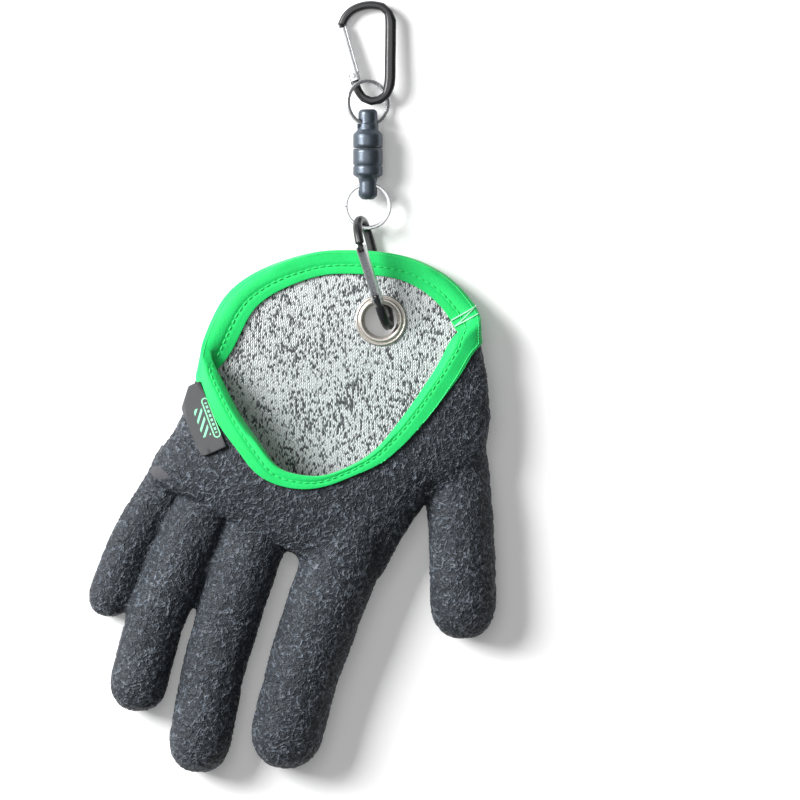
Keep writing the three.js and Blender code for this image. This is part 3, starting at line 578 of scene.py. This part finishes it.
# %% Coat: close the holes and remesh
def boundary_loops(edges):
    left = set(edges)
    while left:
        loop = [left.pop()]
        growing = True
        while growing:
            growing = False
            for vert in loop[-1].verts:
                for edge in vert.link_edges:
                    if edge in left:
                        left.discard(edge)
                        loop.append(edge)
                        growing = True
                        break
                if growing:
                    break
        yield loop


loops = list(boundary_loops(borders))
print("holes:", [len(loop) for loop in loops])
for loop in loops:
    corners = {vert for edge in loop for vert in edge.verts}
    middle = shape.verts.new(sum((vert.co for vert in corners), Vector()) / len(corners))
    for edge in loop:
        shape.faces.new((edge.verts[0], edge.verts[1], middle))
bmesh.ops.recalc_face_normals(shape, faces=shape.faces)
skin_mesh = bpy.data.meshes.new("coat_skin")
shape.to_mesh(skin_mesh)
shape.free()
coat = link("coat_skin", skin_mesh)
VOXEL = 0.83 * MM
remesh = coat.modifiers.new("even", "REMESH")
remesh.mode = "VOXEL"
remesh.voxel_size = VOXEL
flattened(coat)
print("even mesh faces:", len(coat.data.polygons))

# %% [markdown]
# Even now the skin keeps the solid's facets. Repeated averaging with the neighbours melts
# them and rounds the crotches between the fingers, as thick latex does. Near the rim the
# points go back to the solid, because the tape sits there.

# %% Coat: melt the facets
CAP_DISTANCE = 0.95 * MM
MELT_TIMES, MELT_SHARE = 24, 0.5


def points_of(mesh):
    flat = np.empty(len(mesh.vertices) * 3)
    mesh.vertices.foreach_get("co", flat)
    return flat.reshape(-1, 3)


def move_to(mesh, points):
    mesh.vertices.foreach_set("co", points.ravel())
    mesh.update()


def averaged(points, edges, times, share):
    """Each point moves by its share towards the mean of its neighbours, again and again."""
    count = len(points)
    first, second = edges[:, 0], edges[:, 1]
    degree = np.bincount(edges.ravel(), minlength=count)[:, None]
    for _ in range(times):
        total = np.stack([
            np.bincount(first, points[second, axis], count)
            + np.bincount(second, points[first, axis], count)
            for axis in range(3)
        ], axis=1)
        points = points + share * (total / np.maximum(degree, 1) - points)
    return points


def edges_of(mesh):
    flat = np.empty(len(mesh.edges) * 2, dtype=np.int64)
    mesh.edges.foreach_get("vertices", flat)
    return flat.reshape(-1, 2)


start_points = points_of(coat.data)
nearest = [skin_tree.find_nearest(Vector(p)) for p in start_points]
cap = np.array([hit[3] for hit in nearest]) > CAP_DISTANCE
melted = averaged(start_points, edges_of(coat.data), MELT_TIMES, MELT_SHARE)
print("cap points:", int(cap.sum()), "of", len(cap))

# %% [markdown]
# The fingers start in a step where their solids join the palm's. Along the line of their
# roots the averaging goes on much longer, and fades out on either side of it.

# %% Coat: let the fingers run into the palm
ROOT_FROM = np.array((-56.0, -39.0)) * MM
ROOT_TO = np.array((0.0, -66.0)) * MM
ROOT_REACH = 8 * MM
ROOT_TIMES, ROOT_SHARE = 150, 0.5
RIM_HELD, RIM_FADE = 9 * MM, 5 * MM
LEAST_HEIGHT = 0.15 * MM
root_way = ROOT_TO - ROOT_FROM
beside = np.clip((melted[:, :2] - ROOT_FROM) @ root_way / (root_way @ root_way), 0, 1)[:, None]
from_root = np.linalg.norm(melted[:, :2] - ROOT_FROM - beside * root_way, axis=1)
root_share = ROOT_SHARE * np.exp(-((from_root / ROOT_REACH) ** 2))[:, None]
melted = averaged(melted, edges_of(coat.data), ROOT_TIMES, root_share)
print("points smoothed at the finger roots:", int((root_share > 0.1).sum()))


def away_from(points, targets):
    tree = KDTree(len(targets))
    for index, target in enumerate(targets):
        tree.insert(target, index)
    tree.balance()
    return np.array([tree.find(point)[2] for point in points])


from_rim = away_from(start_points, rim_points)
held = np.clip((RIM_HELD - from_rim) / RIM_FADE, 0, 1)[:, None]
solid_places = np.array([hit[0] for hit in nearest])
places = melted * (1 - held) + solid_places * held
places[:, 2] = np.maximum(places[:, 2], LEAST_HEIGHT)
move_to(coat.data, places)
print("points held at the rim:", int((held > 0).sum()))

# %% [markdown]
# The larger crinkles are real relief: winding ridges, dents and a slow swell from three sizes
# of noise, calmed towards the rim. The finest ones are left to the finish. The bend of the
# ridges is a random draw, so its seed is fixed and every run gives the same glove.

# %% Coat: crinkles in the mesh itself
WORM_SIZE, WORM_BEND, WORM_WARP = 2.5 * MM, 5.5 * MM, 1.6 * MM
DENT_SIZE, SWELL_SIZE = 11 * MM, 32 * MM
CALM_REACH, CALM_LEAST = 7 * MM, 0.15
FLOOR_GAP = 0.02 * MM
CRINKLE_SEED = 7


def normals_of(mesh):
    flat = np.empty(len(mesh.vertices) * 3)
    mesh.vertex_normals.foreach_get("vector", flat)
    return flat.reshape(-1, 3)


def crinkle(point):
    place = Vector(point)
    warp = noise.noise_vector(place / WORM_BEND) * WORM_WARP
    worm = 1 - min(abs(noise.noise((place + warp) / WORM_SIZE)) * 3.2, 1)
    dent = noise.noise(place / DENT_SIZE)
    swell = noise.noise(place / SWELL_SIZE)
    return (0.42 * worm + 0.28 * dent + 0.35 * swell - 0.2) * MM


noise.seed_set(CRINKLE_SEED)
raised = np.array([crinkle(p) for p in places])
calm = np.clip(from_rim / CALM_REACH, CALM_LEAST, 1)
places = places + normals_of(coat.data) * (raised * calm)[:, None]
places[:, 2] = np.maximum(places[:, 2], FLOOR_GAP)
move_to(coat.data, places)
shape = bmesh.new()
shape.from_mesh(coat.data)
shape.verts.ensure_lookup_table()
bmesh.ops.delete(shape, geom=[shape.verts[i] for i in np.flatnonzero(cap)], context="VERTS")
shape.to_mesh(coat.data)
shape.free()
coat.data.shade_smooth()
finished(coat, "glove", "latex", latex, "coat_shell")
finished(coat_lining, "glove", "latex", lining_latex, "coat_shell")

# %% [markdown]
# The liner is a thin knitted cloth, so its copy only needs rounding. The marled pattern is
# all in its finish, with the loops raised by the bump.

# %% Liner
liner = rounded("knit_liner", "liner_knit", sharp_deg=60, crease=0.6, levels=1)
finished(liner, "glove", "knit", knit, "knit_liner")

# %% [markdown]
# The binding folds over the rim. The stitches follow the band seen from above, so rays are
# dropped on its rounded copy all round the mouth to find where its two edges lie, a line is
# laid between them, and the tape is drawn in along that line as by a tight thread.

# %% Binding: the band and its stitch line
band = rounded("cuff_binding", "binding_tape", sharp_deg=70, crease=0.4, levels=3)
finished(band, "glove", "tape", tape, "cuff_binding")
band_shape = bmesh.new()
band_shape.from_mesh(band.data)
band_tree = BVHTree.FromBMesh(band_shape)
band_shape.free()
MOUTH_MIDDLE = Vector((0.0195, 0.004))
ABOVE = 0.1
LOOK_STEP = 0.2 * MM
LOOK_FROM, LOOK_TO = 40, 400
SEAM_SHARE, EDGE_SHARE = 0.36, 0.90
GROOVE_DEPTH, GROOVE_REACH = 0.5 * MM, 0.75 * MM


def dropped(spot):
    """Where a ray from straight above meets the band, or None."""
    return band_tree.ray_cast(Vector((*spot, ABOVE)), Vector((0, 0, -1)))[0]


def band_at(angle):
    """Inner and outer reach of the band from above, in one direction from the mouth's middle."""
    out = Vector((math.cos(angle), math.sin(angle)))
    hits = []
    for step in range(LOOK_FROM, LOOK_TO):
        if dropped(MOUTH_MIDDLE + out * step * LOOK_STEP) is not None:
            hits.append(step * LOOK_STEP)
    return out, min(hits), max(hits)


def band_line(share, rise, count=300):
    line = []
    for i in range(count):
        out, inner, outer_reach = band_at(2 * math.pi * i / count)
        hit = dropped(MOUTH_MIDDLE + out * (inner + share * (outer_reach - inner)))
        if hit is not None:
            line.append(hit + Vector((0, 0, rise)))
    return line


seam = band_line(SEAM_SHARE, 0.05 * MM)
band_points = points_of(band.data)
from_seam = away_from(band_points, seam)
sunk = GROOVE_DEPTH * np.exp(-((from_seam / GROOVE_REACH) ** 2))
move_to(band.data, band_points - normals_of(band.data) * sunk[:, None])
widths = [band_at(math.radians(a))[2] - band_at(math.radians(a))[1] for a in (90, 180, 270, 0)]
print("seam points:", len(seam), "band widths in mm:", [round(w / MM, 1) for w in widths])

# %% [markdown]
# Each stitch is the same short bead of thread. Geometry Nodes set one every few millimetres
# along the seam line and turn it along the line, so the length and the spacing stay named
# sizes. The result is made real and kept as a plain mesh.

# %% Binding: stitches by Geometry Nodes
def stitched(line, name, spacing, length, thick, material):
    curve = bpy.data.curves.new(name, "CURVE")
    curve.dimensions = "3D"
    spline = curve.splines.new("POLY")
    spline.points.add(len(line) - 1)
    for spot, point in zip(line, spline.points):
        point.co = (*spot, 1)
    spline.use_cyclic_u = True
    piece = link(name, curve)
    tree = bpy.data.node_groups.new(name + "_tree", "GeometryNodeTree")
    tree.interface.new_socket("Geometry", in_out="INPUT", socket_type="NodeSocketGeometry")
    sizes = []
    for label, value in (("Spacing", spacing), ("Length", length), ("Thickness", thick)):
        socket = tree.interface.new_socket(label, in_out="INPUT", socket_type="NodeSocketFloat")
        sizes.append((socket.identifier, value))
    tree.interface.new_socket("Geometry", in_out="OUTPUT", socket_type="NodeSocketGeometry")
    given, result = add(tree, "NodeGroupInput"), add(tree, "NodeGroupOutput")
    evenly = add(tree, "GeometryNodeCurveToPoints", {
        "Curve": given.outputs["Geometry"], "Length": given.outputs["Spacing"],
    }, mode="LENGTH")
    bead = add(tree, "GeometryNodeMeshUVSphere", {"Segments": 8, "Rings": 6, "Radius": 0.5})
    size = add(tree, "ShaderNodeCombineXYZ", {
        "X": given.outputs["Thickness"], "Y": given.outputs["Thickness"],
        "Z": given.outputs["Length"],
    })
    laid = add(tree, "GeometryNodeInstanceOnPoints", {
        "Points": evenly.outputs["Points"], "Instance": bead.outputs["Mesh"],
        "Rotation": evenly.outputs["Rotation"], "Scale": size.outputs[0],
    })
    real = add(tree, "GeometryNodeRealizeInstances", {"Geometry": laid.outputs[0]})
    smooth = add(tree, "GeometryNodeSetShadeSmooth", {0: real.outputs[0]})
    dyed = add(tree, "GeometryNodeSetMaterial", {
        "Geometry": smooth.outputs[0], "Material": material,
    })
    tree.links.new(dyed.outputs[0], result.inputs[0])
    modifier = piece.modifiers.new("stitches", "NODES")
    modifier.node_group = tree
    for identifier, value in sizes:
        modifier[identifier] = value
    mesh = bpy.data.meshes.new_from_object(
        piece.evaluated_get(bpy.context.evaluated_depsgraph_get()))
    bpy.data.objects.remove(piece)
    return link(name, mesh)


stitches = stitched(seam, "binding_stitches", 2.9 * MM, 2.3 * MM, 0.42 * MM, thread)
finished(stitches, "glove", "tape", thread)
edging = stitched(band_line(EDGE_SHARE, 0.0), "edge_stitches", 1.15 * MM, 1.2 * MM, 0.5 * MM,
                  thread)
finished(edging, "glove", "tape", thread)

# %% [markdown]
# The tape's two ends meet at the right corner of the mouth, where pale thread whips them
# together. Each strand runs across the band on points found by the same rays.

# %% Binding: whipped ends
# Its mottle is painted light and shade as well, from a shaded and a lit copy of the pale green.
pale_thread = twisted("pale_thread", (0.4, 0.85, 0.55), (0.12, 0.6, 0.25), (0.6, 1.0, 0.75))
STRAND_STEPS = 26
STRAND_SIDES = 8
STRAND_END = 0.2 * MM
STRAND_DROP = 0.12 * MM


def surface(name, verts, faces):
    """A smooth piece from its points and faces, with every face turned outwards."""
    mesh = bpy.data.meshes.new(name)
    mesh.from_pydata(verts, [], faces)
    shape = bmesh.new()
    shape.from_mesh(mesh)
    bmesh.ops.recalc_face_normals(shape, faces=shape.faces)
    shape.to_mesh(mesh)
    shape.free()
    mesh.shade_smooth()
    return link(name, mesh)


def swept(name, path, sides, ups, outline):
    """A closed tube: outline points (side, up) carried along the path, capped at both ends."""
    count, around = len(path), len(outline)
    verts = [tuple(p + s * a + u * b) for p, s, u in zip(path, sides, ups) for a, b in outline]
    faces = [
        (i * around + j, (i + 1) * around + j, (i + 1) * around + (j + 1) % around,
         i * around + (j + 1) % around)
        for i in range(count - 1) for j in range(around)
    ]
    faces += [tuple(range(around)), tuple(reversed(range((count - 1) * around, count * around)))]
    return surface(name, verts, faces)


def strand(name, angle_from, angle_to, thick, past=0.0):
    line = []
    for share in np.linspace(0, 1, STRAND_STEPS):
        angle = angle_from + (angle_to - angle_from) * share
        out, inner, outer_reach = band_at(angle)
        reach = inner + STRAND_END + share * (outer_reach - inner - 2 * STRAND_END + past)
        spot = MOUTH_MIDDLE + out * reach
        hit = dropped(spot)
        height = hit.z + thick * 0.3 if hit is not None else line[-1].z - STRAND_DROP
        line.append(Vector((*spot, height)))
    ways = [(after - before).normalized()
            for before, after in zip(line[:1] + line[:-1], line[1:] + line[-1:])]
    sides = [np.array(way.cross(Vector((0, 0, 1))).normalized()) for way in ways]
    ups = [np.cross(side, np.array(way)) for side, way in zip(sides, ways)]
    ring = [(thick / 2 * math.cos(a), thick / 2 * math.sin(a))
            for a in np.linspace(0, 2 * math.pi, STRAND_SIDES, endpoint=False)]
    piece = swept(name, [np.array(p) for p in line], sides, ups, ring)
    return finished(piece, "glove", "tape", pale_thread)


WHIPPED = math.radians(25.5)
strand("whip_near", WHIPPED - 0.035, WHIPPED - 0.020, 0.65 * MM)
strand("whip_far", WHIPPED + 0.020, WHIPPED + 0.030, 0.65 * MM)
strand("whip_cross", WHIPPED - 0.035, WHIPPED + 0.035, 0.5 * MM, 0.9 * MM)

# %% [markdown]
# The tag is a soft tab caught under the binding. Its copy is rounded and drawn out to the
# length that the picture shows, and a UV map in millimetres is laid on its own plane, which
# is found from its points.

# %% Tag
def own_axes(points):
    """The middle, then the long, the middle and the short axis of a cloud of points."""
    middle = points.mean(axis=0)
    _, vectors = np.linalg.eigh(np.cov((points - middle).T))
    return middle, vectors[:, 2], vectors[:, 1], vectors[:, 0]


TAG_STRETCH = 0.22
TAG_SHIFT = np.array((0.9, -1.4, 0.0)) * MM
label = rounded("side_label", "side_tag", sharp_deg=38, crease=0.7, levels=3)
tag_points = points_of(label.data)
middle, along, across_tag, up = own_axes(tag_points)
up = up * np.sign(up[2])
along = along * -np.sign(along[1])
across_tag = np.cross(up, along)
stretch = np.outer((tag_points - middle) @ along * TAG_STRETCH, along)
tag_points = tag_points + stretch + TAG_SHIFT
move_to(label.data, tag_points)
middle = tag_points.mean(axis=0)
uv_layer = label.data.uv_layers.new(name="tag_mm")
for corner in label.data.loops:
    offset = tag_points[corner.vertex_index] - middle
    uv_layer.data[corner.index].uv = (offset @ along / MM, offset @ across_tag / MM)
finished(label, "glove", "label", tag, "side_label")
spans = [np.ptp((tag_points - middle) @ axis) / MM for axis in (along, across_tag, up)]
print("tag size in mm:", [round(float(s), 1) for s in spans], "across", across_tag.round(2))

# %% [markdown]
# The eyelet is a nickel ring clenched on the cloth: a flat outer lip, a shallow dip, then a
# rolled bead that turns down into the throat. Such a form is a profile spun about an axis,
# which is found from the solid that it stands for.

# %% Eyelet
def solid_points(node):
    """The points of a solid, and the middle of the box round them."""
    shape = merged(node)
    points = np.array([vert.co for vert in shape.verts])
    shape.free()
    return points, (points.max(axis=0) + points.min(axis=0)) / 2


def spun(name, middle, normal, profile, sides=96):
    first = np.cross(normal, (0.0, 0.0, 1.0) if abs(normal[2]) < 0.9 else (1.0, 0.0, 0.0))
    first /= np.linalg.norm(first)
    second = np.cross(normal, first)
    count = len(profile)
    verts, faces = [], []
    for i in range(sides):
        angle = 2 * math.pi * i / sides
        out = math.cos(angle) * first + math.sin(angle) * second
        verts += [tuple(middle + out * reach * MM + normal * rise * MM) for reach, rise in profile]
        for j in range(count):
            following, above = (i + 1) % sides, (j + 1) % count
            faces.append((i * count + j, following * count + j, following * count + above,
                          i * count + above))
    return surface(name, verts, faces)


flange_points, eyelet_middle = solid_points("eyelet_flange")
eyelet_up = own_axes(flange_points)[3]
eyelet_up = eyelet_up * np.sign(eyelet_up[2])
deep = (flange_points - eyelet_middle) @ eyelet_up
flat = np.linalg.norm(flange_points - eyelet_middle - np.outer(deep, eyelet_up), axis=1)
EYELET_OUT, EYELET_IN = flat.max() / MM, flat.min() / MM
TOP, BOTTOM = deep.max() / MM, deep.min() / MM
print("eyelet reach", round(EYELET_OUT, 2), round(EYELET_IN, 2), "rise", round(TOP, 2),
      "depth", round(BOTTOM, 2))
bead = (EYELET_IN + EYELET_OUT) / 2 - 0.2
EYELET_PROFILE = [
    (EYELET_OUT - 0.05, TOP - 1.35), (EYELET_OUT, TOP - 1.1), (EYELET_OUT - 0.12, TOP - 0.86),
    (EYELET_OUT - 0.45, TOP - 0.72), (EYELET_OUT - 0.85, TOP - 0.74),
    (EYELET_OUT - 1.1, TOP - 0.95), (EYELET_OUT - 1.3, TOP - 1.0), (EYELET_OUT - 1.5, TOP - 0.85),
    (bead + 0.55, TOP - 0.2), (bead + 0.2, TOP - 0.03), (bead - 0.2, TOP),
    (bead - 0.6, TOP - 0.1), (bead - 1.0, TOP - 0.4), (EYELET_IN + 0.25, TOP - 1.0),
    (EYELET_IN + 0.05, TOP - 1.7), (EYELET_IN, TOP - 2.4), (EYELET_IN, BOTTOM),
    (EYELET_IN + 0.35, BOTTOM), (EYELET_IN + 0.4, TOP - 2.2),
    (EYELET_IN + 1.1, TOP - 1.4),
]
eyelet = spun("eyelet_ring", eyelet_middle, eyelet_up, EYELET_PROFILE)
finished(eyelet, "glove", "nickel", nickel, "eyelet_flange")

# %% [markdown]
# The hooks are bent bar with chamfered edges, so their copies are subdivided with firm
# creases. The rivets, washer and magnets are small turned pieces, and for these it is enough
# to break the edges with a bevel.

# %% Hooks, rivets and release
ROUNDED_PIECES = [
    ("eyelet_hook_body", "eyelet_hook", "glove", "black_metal", black_metal, 22, 0.8),
    ("hanger_hook_body", "hanger_hook", "hanger", "black_metal", black_metal, 22, 0.8),
    ("release_lower", "release_socket", "glove", "slate_metal", slate_metal, 30, 0.75),
    ("release_upper", "release_plug", "hanger", "slate_metal", slate_metal, 30, 0.75),
]
BEVELLED_PIECES = [
    ("eyelet_washer", "eyelet_back", "glove", "nickel", nickel),
    ("eyelet_hook_rivet", "eyelet_rivet", "glove", "silver_metal", gate_metal),
    ("hanger_hook_rivet", "hanger_rivet", "hanger", "silver_metal", gate_metal),
    ("release_lower_magnet", "socket_magnet", "glove", "silver_metal", magnet_metal),
    ("release_upper_magnet", "plug_magnet", "hanger", "silver_metal", magnet_metal),
]
for node, name, body, slot, material, sharp, crease in ROUNDED_PIECES:
    finished(rounded(node, name, sharp, crease), body, slot, material, node)
for node, name, body, slot, material in BEVELLED_PIECES:
    finished(bevelled(node, name), body, slot, material, node)

# %% [markdown]
# Each gate is a strip of steel folded into a channel. It is built from three thin plates: two
# cheeks along its length, and a web between them on the hook's inner side, which starts clear
# of the hinge, so that the gate can swing. Its length runs away from the joint's pivot.

# %% Gates
GATE_SHEET = 0.5 * MM
HINGE_ROOM = 3.2 * MM
SHEET_CORNER = 0.12 * MM
PLATE_STEPS = 10
pivots = {joint["name"]: joint.get("pos_m") for joint in frame["joints"]}


def snap_gate(node, hook_node, joint, name, body):
    points, middle = solid_points(node)
    length_way = own_axes(points)[1]
    low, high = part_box(hook_node)
    if (np.array(pivots[joint]) - middle) @ length_way > 0:
        length_way = -length_way
    inward = np.array((low + high) / 2) - middle
    inward -= (inward @ length_way) * length_way
    inward /= np.linalg.norm(inward)
    up = np.cross(length_way, inward)
    spans = [((points - middle) @ way) for way in (length_way, inward, up)]
    middle = middle + sum(way * (span.max() + span.min()) / 2
                          for way, span in zip((length_way, inward, up), spans))
    run, wide, deep = (np.ptp(span) for span in spans)

    def plate(start, centre, half_side, half_up):
        cut = SHEET_CORNER
        outline = [
            (x * (half_side - inset_x), y * (half_up - inset_y))
            for x, y, inset_x, inset_y in (
                (1, 1, cut, 0), (1, 1, 0, cut), (1, -1, 0, cut), (1, -1, cut, 0),
                (-1, -1, cut, 0), (-1, -1, 0, cut), (-1, 1, 0, cut), (-1, 1, cut, 0))
        ]
        path = [middle + centre + length_way * t for t in np.linspace(start, run / 2, PLATE_STEPS)]
        return swept(name, path, [inward] * PLATE_STEPS, [up] * PLATE_STEPS, outline)

    half_sheet = GATE_SHEET / 2
    cheek = up * (deep - GATE_SHEET) / 2
    web = inward * (wide - GATE_SHEET) / 2
    pieces = [
        plate(-run / 2, cheek, wide / 2 - half_sheet, half_sheet),
        plate(-run / 2, -cheek, wide / 2 - half_sheet, half_sheet),
        plate(-run / 2 + HINGE_ROOM, web, half_sheet, deep / 2),
    ]
    shape = bmesh.new()
    for piece in pieces:
        shape.from_mesh(piece.data)
    mesh = bpy.data.meshes.new(name)
    shape.to_mesh(mesh)
    shape.free()
    for piece in pieces:
        bpy.data.objects.remove(piece)
    mesh.shade_smooth()
    mesh.set_sharp_from_angle(angle=math.radians(50))
    finished(link(name, mesh), body, "silver_metal", gate_metal, node)
    print(name, "mm:", [round(float(v) / MM, 1) for v in (run, wide, deep)])


snap_gate("eyelet_hook_gate", "eyelet_hook_body", "eyelet_gate_hinge", "eyelet_gate",
          "eyelet_gate")
snap_gate("hanger_hook_gate", "hanger_hook_body", "hanger_gate_hinge", "hanger_gate",
          "hanger_gate")

# %% [markdown]
# A split ring is a flat spring wire wound twice round, so its edge shows a parting line and
# two cut ends. Each coil is swept along two turns in the plane of its solid, with a cross
# section that has rounded corners.

# %% Split rings
WIRE_WIDTH = 1.45 * MM
TURN_SHARE = 0.94
CORNER_SQUARE = 0.55
RING_STEPS = 220


def split_ring(node, name, body):
    points, middle = solid_points(node)
    _, first, second, normal = own_axes(points)
    flat = np.hypot((points - middle) @ first, (points - middle) @ second)
    deep = np.ptp((points - middle) @ normal)
    wire_wide = max(flat.max() - flat.min(), WIRE_WIDTH)
    wire_deep = deep / 2 * TURN_SHARE
    radius = flat.max() - wire_wide / 2
    turns = np.linspace(0, 4 * math.pi, RING_STEPS)
    level = np.clip((turns - 1.8 * math.pi) / (0.4 * math.pi), 0, 1)
    level = (level * level * (3 - 2 * level) - 0.5) * deep / 2
    outs = [math.cos(t) * first + math.sin(t) * second for t in turns]
    path = [middle + out * radius + normal * step for out, step in zip(outs, level)]
    half_wide, half_deep = wire_wide / 2 * 0.96, wire_deep / 2
    outline = [
        (half_wide * math.copysign(abs(math.cos(a)) ** CORNER_SQUARE, math.cos(a)),
         half_deep * math.copysign(abs(math.sin(a)) ** CORNER_SQUARE, math.sin(a)))
        for a in np.linspace(0, 2 * math.pi, 16, endpoint=False) + math.pi / 16
    ]
    piece = swept(name, path, outs, [normal] * RING_STEPS, outline)
    finished(piece, body, "ring_steel", ring_metal, node)
    print(name, "radius", round(radius / MM, 2), "wire", round(wire_wide / MM, 2),
          "by", round(wire_deep / MM, 2))


split_ring("lower_split_ring", "lower_ring", "glove")
split_ring("upper_split_ring", "upper_ring", "hanger")

# %% [markdown]
# The glove lies on a pale sheet under a broad soft light from the upper left and a faint one
# from above, with white all round, so its shadow is soft and falls to the lower right.

# %% Floor and lights
FLOOR_HALF = 4.0
FLOOR_DROP = 0.2 * MM
LIT_POINT = (0.03, -0.01, 0)
floor_material, tree, shader = new_material("pale_floor", (0.88, 0.88, 0.88), 0.9,
                                            Specular_IOR_Level=0.0)
shader.inputs["Emission Color"].default_value = (1, 1, 1, 1)
shader.inputs["Emission Strength"].default_value = 0.18
floor_mesh = bpy.data.meshes.new("floor")
corners = [(x * FLOOR_HALF, y * FLOOR_HALF, 0) for x, y in ((-1, -1), (1, -1), (1, 1), (-1, 1))]
floor_mesh.from_pydata(corners, [], [(0, 1, 2, 3)])
floor = link("floor", floor_mesh)
floor.data.materials.append(floor_material)
floor.location.z = -FLOOR_DROP


def soft_light(name, place, size, power):
    data = bpy.data.lights.new(name, "AREA")
    data.shape = "SQUARE"
    data.size = size
    data.energy = power
    light = bpy.data.objects.new(name, data)
    light.location = place
    light.rotation_euler = (Vector(LIT_POINT) - Vector(place)).to_track_quat("-Z", "Y").to_euler()
    bpy.context.scene.collection.objects.link(light)


soft_light("window", (-1.15, 0.5, 0.85), size=0.75, power=52)
soft_light("fill", (-0.2, 0.2, 1.6), size=1.0, power=6)
world = bpy.data.worlds.new("white_room")
world.use_nodes = True
world.node_tree.nodes["Background"].inputs["Color"].default_value = (1, 1, 1, 1)
world.node_tree.nodes["Background"].inputs["Strength"].default_value = 0.08
bpy.context.scene.world = world
bpy.context.scene.view_settings.view_transform = "Standard"
